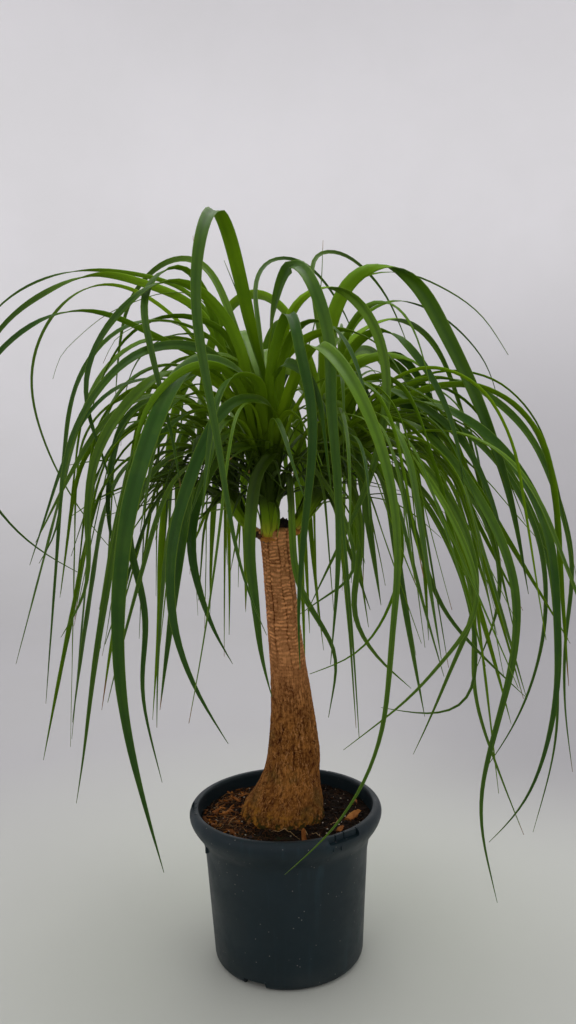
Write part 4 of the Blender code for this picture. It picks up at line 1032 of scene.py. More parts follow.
def leaf_finish(name, settings, under):
    """One side of the blades: pale at the root, green further out, with veins, dry tips and painted shade in
    the crown.
    """
    material, tree, shader = new_material(name, 0.12 if under else 0.22)
    place = object_place(tree)
    tone = surface_value(tree, "tone")
    reach = surface_value(tree, "reach")
    dry = surface_value(tree, "dry")
    uv = split_axes(tree, tree.nodes.new("ShaderNodeTexCoord").outputs["UV"])
    axes = split_axes(tree, place)
    # The undersides' colours are partly the leaf's own and partly painted light: they are lighter and
    # yellower, as if light shone through the blade.
    deep = tuple(settings.under_deep_backlit_colour if under else settings.deep_colour)
    bright = tuple(settings.under_bright_backlit_colour if under else settings.bright_colour)
    patches = mottled(tree, place, 22.0, -0.16, 0.16)
    lightness = arithmetic(tree, "ADD", tone, patches, clamp=True)
    green = mix_colours(tree, lightness, rgba(deep), rgba(bright))
    fresh = spread_range(tree, reach, 0.22, 0.06, 0.0, 0.5)
    green = mix_colours(tree, fresh, green, rgba(settings.fresh_colour))
    # Painted shade: the outer, hanging part of each blade is darkened, as it faces away from the light above.
    hanging_shade = spread_range(tree, uv[1], 0.42, 0.82, 0.0, 0.42 if under else 0.5)
    green = mix_colours(tree, hanging_shade, green, rgba(deep, 0.6))
    lines = use_group(tree, "blade_lines", {"Across": uv[0], "Lines": 15.0})
    vein = times(tree, lines["Vein"], 0.2)
    green = mix_colours(tree, vein, green, rgba(deep, 0.45))
    # Painted shade: a darker band down the blade along its fold, where the fold shades itself; its place
    # across the blade shifts with the leaf's lightness.
    shifted = arithmetic(tree, "MULTIPLY_ADD", tone, 0.3, arithmetic(tree, "SUBTRACT", uv[0], 0.65))
    off_fold_shade = arithmetic(tree, "ABSOLUTE", shifted)
    fold_shade = spread_range(tree, off_fold_shade, 0.24, 0.02, 0.0, 0.16 if under else 0.36)
    green = mix_colours(tree, fold_shade, green, rgba(deep, 0.5))
    margin = times(tree, lines["Edge"], 0.35)
    green = mix_colours(tree, margin, green, rgba(settings.fresh_colour))
    # Painted shade: low in the crown, near its middle or near a blade's root, the blades are darkened almost
    # to black, as the crown shades itself there.
    over_feet = spread_range(tree, axes[2], 0.522, 0.548)
    under_tops = spread_range(tree, axes[2], 0.66, 0.57)
    inner = times(tree, over_feet, under_tops)
    off_axis = away_from_middle(tree, axes)
    inner = times(tree, inner, spread_range(tree, off_axis, 0.13, 0.035, 0.0, 0.88))
    near_root = times(tree, spread_range(tree, reach, 0.20, 0.05, 0.0, 0.82), under_tops)
    near_root = times(tree, near_root, over_feet)
    inner = arithmetic(tree, "MAXIMUM", inner, near_root)
    green = mix_colours(tree, inner, green, rgba(deep, 0.12))
    above = surface_value(tree, "above")
    colour = mix_colours(tree, spread_range(tree, above, 0.034, 0.010), green, rgba(settings.root_colour))
    colour = mix_colours(tree, spread_range(tree, above, 0.015, 0.003), colour, ROOT_ORANGE)
    # Painted shade: dark lines along the edges of the clasping feet, where the gaps between the blades' feet
    # lie in shade.
    seam = times(tree, lines["Edge"], spread_range(tree, above, 0.075, 0.03, 0.0, 0.85))
    colour = mix_colours(tree, seam, colour, ROOT_GAP_SHADE)
    along = arithmetic(tree, "ADD", uv[1], times(tree, dry, 0.06))
    browned = spread_range(tree, along, 1.0, 1.025)
    colour = mix_colours(tree, browned, colour, DRY_TIP)
    tree.links.new(colour, shader.inputs["Base Color"])
    low, high = (0.55, 0.68) if under else (0.36, 0.50)
    gloss = mottled(tree, place, 60.0, low, high)
    tree.links.new(gloss, shader.inputs["Roughness"])
    raise_surface(tree, shader, lines["Vein"], 0.22, 0.0003)
    return material


def plain_stage(settings):
    """A pale floor with a painted shadow of the plant behind it on the right; the backdrop is painted lighter
    and glows softly higher up.
    """
    material, tree, shader = new_material("stage_pale", 0.1, 0.9)
    place = object_place(tree)
    axes = split_axes(tree, place)
    along = times(tree, arithmetic(tree, "ADD", away_from_middle(tree, axes), axes[2]), 0.16)
    steps = [(0.0, tuple(settings.floor_colour)), (FLOOR_UNTIL, tuple(settings.floor_colour))]
    steps += [(share, shaded(settings.backdrop_colour, level)) for share, level in STAGE_TONES]
    soft = mottled(tree, place, 1.1, 0.0, 0.25)
    colour = mix_colours(tree, soft, colour_steps(tree, along, steps), STAGE_PATCH)
    # Painted shadow of the plant on the floor and backdrop, behind it and to the right, low down.
    plant_shadow = spread_range(tree, axes[0], 0.05, 0.5, 0.0, 0.6)
    plant_shadow = times(tree, plant_shadow, spread_range(tree, axes[2], 1.5, 0.5))
    plant_shadow = times(tree, plant_shadow, spread_range(tree, axes[1], 0.2, 0.6))
    colour = mix_colours(tree, plant_shadow, colour, STAGE_SHADOW)
    tree.links.new(colour, shader.inputs["Base Color"])
    glow = spread_range(tree, along, GLOW_FROM, GLOW_TO)
    glow = mix_colours(tree, glow, (0, 0, 0, 1.0), rgba(settings.backdrop_colour))
    tree.links.new(glow, shader.inputs["Emission Color"])
    shader.inputs["Emission Strength"].default_value = settings.backdrop_glow
    return material


def mesh_object(name, bm, materials=()):
    """An object at the origin that takes the mesh over."""
    mesh = bpy.data.meshes.new(name)
    bm.to_mesh(mesh)
    bm.free()
    for material in materials:
        mesh.materials.append(material)
    made = bpy.data.objects.new(name, mesh)
    bpy.context.scene.collection.objects.link(made)
    return made


def finish_piece(name, bm, materials, stands_for=(), sharp_angle=None):
    """Makes the mesh an object at the origin that rides on the model's body."""
    piece = mesh_object(name, bm, materials)
    piece.data.shade_smooth()
    if sharp_angle is not None:
        piece.data.set_sharp_from_angle(angle=math.radians(sharp_angle))
    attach(piece, "root")
    if stands_for:
        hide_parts(*stands_for)
    return piece


def new_form(label):
    """An empty mesh with a value of that name at each vertex."""
    bm = bmesh.new()
    return bm, bm.verts.layers.float.new(label)


def close_form(bm):
    """Merges doubled vertices and turns the faces outwards."""
    bmesh.ops.remove_doubles(bm, verts=bm.verts, dist=1e-6)
    bmesh.ops.recalc_face_normals(bm, faces=bm.faces)


def bevel(bm, geom, offset, segments, affect="EDGES"):
    return bmesh.ops.bevel(
        bm, geom=geom, offset=offset, offset_type="OFFSET", segments=segments, profile=0.5, affect=affect,
        material=-1,
    )


def edges_at(verts):
    """The edges that meet the vertices, each once and in the same order on every run."""
    return list(dict.fromkeys(edge for vert in verts for edge in vert.link_edges))


def turn_about(axis, degrees):
    return Matrix.Rotation(math.radians(degrees), 4, axis)


def round_grid(bm, around, up):
    """A new grid's vertices, each with its angle round a form and its share of the way up it.

    The grid's two sides get the same angle, so that they meet in a seam.
    """
    for vert in bmesh.ops.create_grid(bm, x_segments=around, y_segments=up, size=1.0)["verts"]:
        angle = math.pi * (vert.co.x + 1) if vert.co.x < 1 - 1e-5 else 0.0
        yield vert, angle, (vert.co.y + 1) / 2


def spun(points, steps, rounded=()):
    """A form turned about Z from an outline in the XZ plane in mm, its corners rounded first.

    Each item of rounded is (point numbers, rounding radius, segments).
    """
    bm = bmesh.new()
    verts = [bm.verts.new(Vector((x, 0.0, z)) * MM) for x, z in points]
    for low, high in zip(verts, verts[1:]):
        bm.edges.new((low, high))
    for numbers, radius, segments in rounded:
        bevel(bm, [verts[k] for k in numbers], radius * MM, segments, "VERTICES")
    bmesh.ops.spin(
        bm, geom=bm.verts[:] + bm.edges[:], cent=(0, 0, 0), axis=(0, 0, 1), dvec=(0, 0, 0),
        angle=2 * math.pi, steps=steps, use_merge=True, use_duplicate=False,
    )
    close_form(bm)
    return bm


def cut_away(body, cutters, operation="DIFFERENCE"):
    """Cuts the cutters from the body, or joins them to it, and removes them."""
    held = bpy.context.scene.collection
    group = bpy.data.collections.new("cutters")
    held.children.link(group)
    for cutter in cutters:
        held.objects.unlink(cutter)
        group.objects.link(cutter)
    change = body.modifiers.new("change", "BOOLEAN")
    change.operation = operation
    change.operand_type = "COLLECTION"
    change.collection = group
    change.solver = "EXACT"
    depsgraph = bpy.context.evaluated_depsgraph_get()
    result = bpy.data.meshes.new_from_object(body.evaluated_get(depsgraph))
    body.modifiers.clear()
    body.data = result
    for cutter in cutters:
        bpy.data.objects.remove(cutter)
    bpy.data.collections.remove(group)


def rounded_block(name, size, place, angle, rounding, segments=3, outward_only=False):
    """A block with rounded edges, at a place on the pot turned about Z, in mm and degrees.

    With outward_only, just the edges that run away from the pot's middle are rounded.
    """
    bm = bmesh.new()
    bmesh.ops.create_cube(bm, size=1.0)
    bmesh.ops.scale(bm, vec=Vector(size) * MM, verts=bm.verts)
    edges = bm.edges[:]
    if outward_only:
        edges = [edge for edge in edges if abs(edge.verts[0].co.x - edge.verts[1].co.x) > size[0] * MM * 0.5]
    bevel(bm, edges, rounding * MM, segments)
    move = turn_about("Z", angle) @ Matrix.Translation(Vector(place) * MM)
    bmesh.ops.transform(bm, matrix=move, verts=bm.verts)
    return mesh_object(name, bm)


def pot_outline():
    """The pot's outline from its underside, up the outside, over the lip and down the inside."""
    inner_foot = WALL_FOOT_RADIUS - WALL
    return (
        (0, 0),
        (PAD_RADIUS, 0),
        (PAD_RADIUS + 2, PANEL_RISE),
        (FOOT_RADIUS - 11, PANEL_RISE),
        (FOOT_RADIUS - 9, 0),
        (WALL_FOOT_RADIUS, 0),
        (WALL_AT_SKIRT, SKIRT_Z),
        *COLLAR,
        *LIP_INSIDE,
        (WALL_AT_SKIRT + 1.6, SKIRT_Z + 15),
        (WALL_AT_SKIRT - WALL, SKIRT_Z),
        (inner_foot, FLOOR_TOP),
        (0, FLOOR_TOP),
    )


# Which of the outline's corners are rounded: their numbers, the rounding in mm and the steps.
POT_ROUNDING = (
    ((5,), 8.5, 6),
    ((7,), 2.6, 4),
    ((8,), 3.0, 3),
    ((9,), 3.2, 4),
    ((10,), 2.8, 4),
    ((11,), 2.6, 4),
    ((12,), 2.2, 4),
    ((13,), 1.1, 3),
    ((14,), 0.9, 2),
    ((15, 16), 4.0, 3),
    ((18,), 4.0, 3),
)


def window_cutters():
    """The windows in the collar's shoulder: a shallow slot with three narrow gaps in its floor."""
    low, high = WINDOW_Z
    middle = (low + high) / 2
    cuts = [(WINDOW_SPAN, WINDOW_DEPTH, WINDOW_ROUNDING, 1.0)]
    for place in GAP_PLACES:
        cuts.append(((place - GAP_WIDTH / 2, place + GAP_WIDTH / 2), GAP_DEPTH, GAP_WIDTH * 0.4, 0.9))
    cutters = []
    for number, angle in enumerate(WINDOW_ANGLES):
        for place, ((start, stop), depth, rounding, share) in enumerate(cuts):
            outer = COLLAR_WIDEST + 6
            inner = COLLAR_WIDEST - depth
            size = (outer - inner, stop - start, (high - low) * share)
            centre = ((outer + inner) / 2, (start + stop) / 2, middle)
            cutters.append(rounded_block(f"window_{number}_{place}", size, centre, angle, rounding, 5, True))
    return cutters


def notch_and_drain_cutters():
    """The notches in the foot and the holes in the floor."""
    cutters = []
    for number, angle in enumerate(NOTCH_ANGLES):
        size = (NOTCH_REACH, NOTCH_SIZE[0], NOTCH_SIZE[1] * 2)
        place = (NOTCH_INNER + NOTCH_REACH / 2, 0, 0)
        cutters.append(rounded_block(f"notch_{number}", size, place, angle, 1.2, 3))
    radius = DRAIN_RADIUS * MM
    depth = (FLOOR_TOP + 10) * MM
    for i in range(DRAIN_COUNT):
        bm = bmesh.new()
        bmesh.ops.create_cone(bm, cap_ends=True, segments=24, radius1=radius, radius2=radius, depth=depth)
        angle = 2 * math.pi * (i + 0.5) / DRAIN_COUNT
        centre = Vector((DRAIN_RING * math.cos(angle), DRAIN_RING * math.sin(angle), FLOOR_TOP / 2))
        bmesh.ops.translate(bm, vec=centre * MM, verts=bm.verts)
        cutters.append(mesh_object(f"drain_{i}", bm))
    return cutters


def small_raised_marks():
    """The two ticks under each window and the one upright tab under the collar."""
    marks = []
    for number, angle in enumerate(WINDOW_ANGLES):
        for turn in TICK_TURNS:
            place = (COLLAR_WIDEST - 1.3, 0, WINDOW_Z[0] - TICK_SIZE[2] / 2 - TICK_DROP)
            marks.append(rounded_block(f"tick_{number}_{turn}", TICK_SIZE, place, angle + turn, 0.4, 2))
    marks.append(rounded_block("tab", TAB_SIZE, (COLLAR[0][0] - 0.2, 0, TAB_Z), TAB_ANGLE, 0.6, 2))
    return marks


def build_pot(settings):
    helper = mesh_object("pot_body", spun(pot_outline(), settings.sides, POT_ROUNDING))
    cut_away(helper, window_cutters() + notch_and_drain_cutters())
    cut_away(helper, small_raised_marks(), "UNION")
    bm = bmesh.new()
    bm.from_mesh(helper.data)
    bpy.data.objects.remove(helper)
    bmesh.ops.remove_doubles(bm, verts=bm.verts, dist=1e-5)
    return finish_piece("nursery_pot", bm, [pot_plastic(settings)], ["pot"], 32)


def soil_height(x, y):
    """The soil's height in millimetres at a place in millimetres."""
    coarse = SOIL_BUMP * wavering(x, y, 3.0, 11)
    grain = SOIL_GRAIN * wavering(x, y, 9.0, 3.6)
    crumb = SOIL_CRUMB * wavering(x, y, 14.0, 1.7)
    edge = smooth_step((math.hypot(x, y) - 84) / 12)
    return SOIL_TOP + coarse * (1 - 0.6 * edge) + grain + crumb - 2.0 * edge


def build_soil(settings):
    foot = WALL_FOOT_RADIUS - WALL - SOIL_GAP
    edge = WALL_AT_SKIRT - WALL - SOIL_GAP
    floor = FLOOR_TOP + SOIL_GAP
    outline = [(0, floor), (foot - 6, floor), (foot, FLOOR_TOP + 7), (edge, SKIRT_Z)]
    outline += [((edge + SOIL_SPREAD) * (1 - i / SOIL_RINGS), SOIL_TOP) for i in range(SOIL_RINGS + 1)]
    bm = spun(outline, SOIL_STEPS)
    for vert in bm.verts:
        if vert.co.z > (SOIL_TOP - 2) * MM:
            vert.co.z = soil_height(vert.co.x / MM, vert.co.y / MM) * MM
    return finish_piece("soil_surface", bm, [earth_dark(settings)], ["soil"])


def left_share(x):
    """From 0 to 1 towards the left, where the litter is lighter and longer."""
    return smooth_step((-x - 20) / 40)


def litter_place(rng):
    """A place on the soil outside the trunk, in millimetres."""
    while True:
        x = rng.uniform(-LITTER_REACH, LITTER_REACH)
        y = rng.uniform(-LITTER_REACH, LITTER_REACH)
        if math.hypot(x, y) < LITTER_REACH and math.hypot((x + 5) / 1.04, y) > LITTER_OFF_TRUNK:
            return x, y


def add_chip(bm, tone_layer, rng, place, length, width, thick, tone):
    """A flat splinter of bark with worn corners."""
    made = bmesh.ops.create_cube(bm, size=1.0)["verts"]
    for vert in made:
        pinch = 1.0 - 0.45 * rng.random() * (1 if vert.co.x > 0 else 0.7)
        along = vert.co.x * length * (0.8 + 0.3 * rng.random())
        vert.co = Vector((along, vert.co.y * width * pinch, vert.co.z * thick))
    result = bevel(bm, edges_at(made), min(width, thick) * 0.22, 1)
    verts = list(dict.fromkeys(result["verts"] + [vert for vert in made if vert.is_valid]))
    spin = Matrix.Rotation(rng.uniform(0, 2 * math.pi), 4, "Z")
    tilt = turn_about("X", rng.uniform(-26, 26))
    nod = turn_about("Y", rng.uniform(-24, 24))
    move = Matrix.Translation(Vector(place))
    bmesh.ops.transform(bm, matrix=Matrix.Scale(MM, 4) @ move @ spin @ nod @ tilt, verts=verts)
    for vert in verts:
        vert[tone_layer] = tone


def build_chips(settings):
    rng = random.Random(settings.seed)
    bm, tone_layer = new_form("tone")
    for _ in range(settings.chips):
        x, y = litter_place(rng)
        length = rng.uniform(*CHIP_LENGTHS) * (1.6 if rng.random() < 0.1 else 1.0)
        width = length * rng.uniform(*CHIP_WIDTHS)
        thick = rng.uniform(*CHIP_THICKNESSES)
        left = left_share(x)
        tone = min(1.0, max(0.0, rng.gauss(0.02 + 0.52 * left, 0.17)))
        length *= 1 + 0.35 * left
        spot = (x, y, soil_height(x, y) + thick * rng.uniform(0.1, 0.8))
        add_chip(bm, tone_layer, rng, spot, length, width, thick, tone)
    bmesh.ops.recalc_face_normals(bm, faces=bm.faces)
    steps = (
        (0.05, (0.008, 0.0035, 0.0015)),
        (0.35, (0.034, 0.012, 0.004)),
        (0.62, (0.22, 0.070, 0.010)),
        (0.95, (0.50, 0.19, 0.035)),
    )
    finish = toned_bits("bark_chip", steps, 420.0)
    return finish_piece("bark_chips", bm, [finish], (), 30)


# The seed of the noise that roughens the chips that stand out, and for each of them its place,
# length, width, thickness, lightness, lean and heading.
CHIP_NOISE_SEED = 33
FEATURED_CHIPS = (
    ((79.0, -18.0, 172.0), 17.0, 8.0, 3.0, 0.62, 20.0, 40.0),
    ((62.0, -50.0, 171.0), 10.0, 4.6, 2.2, 0.45, 10.0, 60.0),
    ((20.0, -79.0, 176.6), 16.0, 5.0, 2.4, 0.5, 80.0, 100.0),
    ((-83.0, 12.0, 169.0), 10.0, 4.6, 2.2, 0.45, 14.0, 40.0),
    ((-84.0, -26.0, 169.0), 12.0, 4.2, 2.0, 0.36, -12.0, 100.0),
    ((-70.0, 4.0, 170.0), 10.0, 5.4, 2.6, 0.6, 16.0, 20.0),
    ((-62.0, -46.0, 169.0), 12.0, 4.0, 2.0, 0.3, 12.0, 150.0),
    ((84.0, 24.0, 169.6), 10.0, 4.4, 2.2, 0.4, 12.0, 80.0),
)


def build_big_chips(settings):
    """The chips that stand out in the picture, two of them propped up."""
    rng = random.Random(settings.seed + 1)
    noise.seed_set(CHIP_NOISE_SEED)
    bm, tone_layer = new_form("tone")
    for place, length, width, thick, tone, lean, heading in FEATURED_CHIPS:
        made = bmesh.ops.create_cube(bm, size=1.0)["verts"]
        bmesh.ops.subdivide_edges(bm, edges=edges_at(made), cuts=3, use_grid_fill=True)
        verts = [vert for vert in bm.verts if vert[tone_layer] == 0.0]
        turn = turn_about("Z", heading) @ turn_about("Y", -lean)
        for vert in verts:
            taper = 1 - 0.8 * max(0.0, vert.co.x + 0.1)
            rough = noise.noise_vector(vert.co * 2.3 + Vector(place))
            local = Vector((vert.co.x * length, vert.co.y * width * taper, vert.co.z * thick * taper))
            local += Vector((rough.x * length * 0.22, rough.y * width * 0.4, rough.z * thick * 0.45))
            local.z += rng.uniform(-0.25, 0.25)
            vert.co = (turn @ local + Vector(place)) * MM
            vert[tone_layer] = tone + 0.3 * rough.x
    bmesh.ops.recalc_face_normals(bm, faces=bm.faces)
    steps = ((0.1, (0.07, 0.024, 0.007)), (0.5, (0.28, 0.095, 0.02)), (0.95, (0.55, 0.24, 0.06)))
    finish = toned_bits("bark_chip_orange", steps, 300.0)
    return finish_piece("big_bark_chips", bm, [finish], (), 35)


def add_fibre(bm, tone_layer, rng, start, heading, length, radius, arch, tone, steps=6):
    """A thin curved thread with three sides that lies on the soil or arches over it."""
    bend = rng.uniform(-1.6, 1.6)
    rings = []
    x, y = start
    way = heading
    for i in range(steps + 1):
        share = i / steps
        lift = arch * math.sin(math.pi * share) + 0.5
        centre = Vector((x, y, soil_height(x, y) + lift))
        side = Vector((-math.sin(way), math.cos(way), 0))
        thick = radius * (1.05 - 0.75 * share)
        ring = []
        for k in range(3):
            angle = 2 * math.pi * k / 3 + 0.5
            offset = side * math.cos(angle) * thick + Vector((0, 0, 1)) * math.sin(angle) * thick
            vert = bm.verts.new((centre + offset) * MM)
            vert[tone_layer] = tone
            ring.append(vert)
        rings.append(ring)
        way += bend / steps + rng.uniform(-0.25, 0.25)
        x += math.cos(way) * length / steps
        y += math.sin(way) * length / steps
    for low, high in zip(rings, rings[1:]):
        for k in range(3):
            bm.faces.new((low[k], low[(k + 1) % 3], high[(k + 1) % 3], high[k]))
    bm.faces.new(rings[0][::-1])
    bm.faces.new(rings[-1])


# The straw-like threads that stand out: start, heading in degrees and length.
LONG_FIBRES = (
    ((-6.0, -47.0), -28.0, 32.0),
    ((-16.0, -50.0), -8.0, 22.0),
    ((24.0, -60.0), 75.0, 18.0),
    ((28.0, -52.0), -70.0, 20.0),
    ((50.0, -34.0), 30.0, 24.0),
    ((-58.0, -6.0), 240.0, 26.0),
)


def build_fibres(settings):
    rng = random.Random(settings.seed + 2)
    bm, tone_layer = new_form("tone")
    for number in range(settings.fibres):
        x, y = litter_place(rng)
        if number % 3 == 0:
            x = -abs(x)
        length = rng.uniform(*FIBRE_LENGTHS)
        heading = rng.uniform(0, 2 * math.pi)
        ahead = (x + math.cos(heading) * length, y + math.sin(heading) * length)
        if math.hypot(*ahead) > FIBRE_REACH:
            heading += math.pi
        tone = rng.uniform(0.0, 0.74) ** 2.8 + 0.36 * left_share(x)
        radius = rng.uniform(*FIBRE_RADII)
        add_fibre(bm, tone_layer, rng, (x, y), heading, length, radius, rng.uniform(*FIBRE_ARCHES), tone)
    for start, heading, length in LONG_FIBRES:
        way = math.radians(heading)
        add_fibre(bm, tone_layer, rng, start, way, length, radius=0.42, arch=1.6, tone=0.95, steps=12)
    bmesh.ops.recalc_face_normals(bm, faces=bm.faces)
    steps = ((0.05, (0.014, 0.006, 0.002)), (0.45, (0.18, 0.066, 0.016)), (0.95, (0.56, 0.36, 0.16)))
    return finish_piece("coir_fibres", bm, [toned_bits("coir_fibre", steps, 500.0)])


def build_perlite(settings):
    rng = random.Random(settings.seed + 3)
    bm, tone_layer = new_form("tone")
    for _ in range(settings.perlite):
        x, y = litter_place(rng)
        radius = rng.uniform(*PERLITE_RADII)
        spot = Vector((x, y, soil_height(x, y) + radius * 0.3))
        made = bmesh.ops.create_icosphere(bm, subdivisions=1, radius=radius * MM)["verts"]
        squash = Vector((rng.uniform(0.7, 1.25), rng.uniform(0.7, 1.25), rng.uniform(0.55, 0.95)))
        tone = rng.uniform(0.2, 1.0)
        for vert in made:
            vert.co = Vector(a * b * rng.uniform(0.85, 1.1) for a, b in zip(vert.co, squash)) + spot * MM
            vert[tone_layer] = tone
    steps = ((0.1, (0.22, 0.17, 0.11)), (0.6, (0.46, 0.4, 0.3)), (1.0, (0.75, 0.7, 0.6)))
    return finish_piece("perlite_grains", bm, [toned_bits("perlite_white", steps, 800.0)])


def bark_pattern(angle, height, radius, settings):
    """How far the bark stands out in cm, and how light it is from 0 to 1."""
    turn_x = math.cos(angle)
    turn_y = math.sin(angle)
    x = turn_x * radius
    y = turn_y * radius
    upper = smooth_step((height - 30.0) / 11.0)
    relief = 0.0
    tone = 0.0
    wide = wavering(x * 0.55, y * 0.55, height * 0.35 + 7)
    if upper > 0:
        wander = 0.2 * wavering(turn_x * 1.3, turn_y * 1.3, height * 0.22)
        wander += 0.07 * wavering(turn_x * 3.0, turn_y * 3.0, height * 1.3)
        around = angle * BARK_COLUMNS / (2 * math.pi) + wander
        column = math.floor(around) % BARK_COLUMNS
        inside = around - math.floor(around)
        pitch = 2 * math.pi * radius / BARK_COLUMNS
        to_crack = min(inside, 1 - inside) * pitch
        border = round(around) % BARK_COLUMNS
        held = 0.55 + 0.45 * smooth_step(0.6 + 1.6 * wavering(border * 5.3, 2.0, height * 0.25))
        crack = math.exp(-((to_crack / 0.085) ** 2)) * held
        half_crack = abs(inside - 0.5 - 0.2 * wavering(column * 3.7, 9.0, height * 0.3)) * pitch
        short = smooth_step(2.6 * wavering(column * 7.9, 4.0, height * 0.36) + 0.15)
        crack = max(crack, math.exp(-((half_crack / 0.05) ** 2)) * short * 0.8)
        lean = 0.42 * wavering(around * 1.4, height * 0.5, 3.0)
        step = column * 0.37 + 1.1 * wavering(column * 2.1, 0.0, height * 0.35)
        side = 7.0 if inside > 0.5 and short > 0.4 else 0.0
        phase = height / settings.ridge_spacing + lean + step + 0.07 * side
        row = math.floor(phase)
        to_gap = min(phase - row, 1 - (phase - row))
        lip = math.exp(-(((phase - row - 0.5) / 0.2) ** 2))
        gap = smooth_step((0.26 - to_gap) / 0.2)
        block = wavering(column * 7.3 + side, row * 3.37, 5.2)
        torn = wavering(x * 3.5, y * 3.5, height * 7.0)
        fleck = wavering(x * 7.0, y * 7.0, height * 12.0 + 30)
        faint = smooth_step(0.75 + 1.3 * wavering(around * 1.3, height * 0.6, 12.0))
        dash = wavering(turn_x * radius * 1.7, turn_y * radius * 1.7, row * 4.7)
        dash = smooth_step(0.5 + 2.6 * dash)
        lip *= dash * (0.5 + 0.5 * faint)
        raised = 0.03 * faint * (0.5 - gap) + 0.04 * lip - settings.crack_depth * crack + 0.014 * torn
        relief += upper * raised
        tone += upper * (0.55 + 0.2 * block + 0.5 * lip - 0.16 * gap * faint - 0.34 * crack)
        tone += upper * (0.10 * torn + 0.12 * fleck + 0.12 * wide)
    if upper < 1:
        low_part = 1 - upper
        slow = wavering(x * 1.9, y * 1.9, height * 0.17)
        quick = wavering(x * 4.2, y * 4.2, height * 0.40 + 20)
        tight = wavering(x * 8.0, y * 8.0, height * 0.85 + 40)
        plates = wavering(x * 3.6, y * 3.6, height * 1.3 + 60)
        wrinkle = wavering(x * 2.4, y * 2.4, height * 5.0 + 80)
        fissure = 0.9 * math.exp(-((slow / 0.06) ** 2)) + 0.75 * math.exp(-((quick / 0.08) ** 2))
        fissure = min(1.0, fissure + 0.5 * math.exp(-((tight / 0.12) ** 2)))
        foot = smooth_step((21.0 - height) / 5.0)
        folded = smooth_step((height - 22.0) / 5.0)
        depth = 0.07 + 0.06 * foot
        relief += low_part * (0.045 * plates + (0.012 + 0.03 * folded) * wrinkle - depth * fissure)
        lightness = 0.62 + 0.14 * plates + (0.08 + 0.12 * folded) * wrinkle - 0.3 * fissure + 0.2 * wide
        tone += low_part * lightness
    return relief, min(1.0, max(0.0, tone))


def build_trunk(settings):
    rows = [row for row in TRUNK if row[0] < BARK_TOP[0][0]] + list(BARK_TOP)
    low = rows[0][0]
    high = rows[-1][0]
    line = catmull_rom([(height, across / 2, centre) for height, across, centre in rows], TRUNK_UP)
    bm, tone_layer = new_form("tone")
    for vert, angle, share in round_grid(bm, TRUNK_AROUND, TRUNK_UP):
        turn_x = math.cos(angle)
        turn_y = math.sin(angle)
        height = low + (high - low) * share
        radius = float(np.interp(height, line[:, 0], line[:, 1]))
        centre = float(np.interp(height, line[:, 0], line[:, 2]))
        swell = 1 + 0.055 * wavering(turn_x * 1.4, turn_y * 1.4, height * 0.16) * min(1.0, (52 - height) / 14)
        inward = max(0.0, -0.8 * turn_y - 0.6 * turn_x)
        swell -= 0.12 * inward * smooth_step((20.5 - height) / 3.5)
        knob = wavering(turn_x * 3.1, turn_y * 3.1, height * 0.55)
        swell += 0.045 * knob * smooth_step((21.5 - height) / 4.0)
        relief, tone = bark_pattern(angle, height, radius, settings)
        reach = radius * swell + relief
        if share < 1e-5 or share > 1 - 1e-5:
            reach = 0.0
        vert.co = Vector((centre + reach * turn_x, reach * turn_y, height)) * CM
        vert[tone_layer] = tone
    close_form(bm)
    return finish_piece("corky_trunk", bm, [bark_cork(settings)], ["trunk"])


# Lumps round the trunk's cut top in centimetres: centre, radii, and lightness.
LUMPS = (
    ((0.35, 0.15, 50.7), (0.62, 0.6, 0.62), 0.10),
    ((0.85, 0.35, 51.1), (0.55, 0.6, 0.7), 0.02),
    ((0.55, 0.9, 51.2), (0.6, 0.5, 0.75), 0.05),
    ((0.95, -0.25, 50.4), (0.5, 0.5, 0.42), 0.22),
    ((1.35, 0.35, 50.15), (0.5, 0.6, 0.42), 0.66),
    ((1.95, 0.75, 50.3), (0.55, 0.6, 0.42), 0.85),
    ((1.7, 0.2, 50.6), (0.32, 0.35, 0.3), 0.6),
    ((-0.95, -1.2, 49.8), (1.0, 0.6, 0.3), 0.9),
    ((-1.75, -0.4, 50.0), (0.55, 0.7, 0.4), 0.35),
    ((-1.9, 1.0, 50.0), (0.8, 0.75, 0.5), 0.2),
    ((-0.2, 1.1, 50.4), (0.9, 0.7, 0.5), 0.08),
)


def build_scars():
    """The cut top of the trunk: dark dry wood and orange callus round the stems' feet."""
    bm, tone_layer = new_form("tone")
    for number, (centre, radii, tone) in enumerate(LUMPS):
        made = bmesh.ops.create_icosphere(bm, subdivisions=4, radius=1.0)["verts"]
        for vert in made:
            push = 1 + 0.35 * noise.noise(vert.co * 1.9 + Vector((number * 5, 0, 0)))
            push += 0.2 * noise.noise(vert.co * 5.0 + Vector((number * 9, 3, 0)))
            vert.co = (Vector(a * b * push for a, b in zip(vert.co, radii)) + Vector(centre)) * CM
            vert[tone_layer] = tone
    steps = (
        (0.02, (0.014, 0.010, 0.008)),
        (0.25, (0.06, 0.028, 0.014)),
        (0.5, (0.2, 0.08, 0.025)),
        (0.95, (0.52, 0.22, 0.04)),
    )
    return finish_piece("trunk_top_scars", bm, [toned_bits("scar_wood", steps, 260.0)])


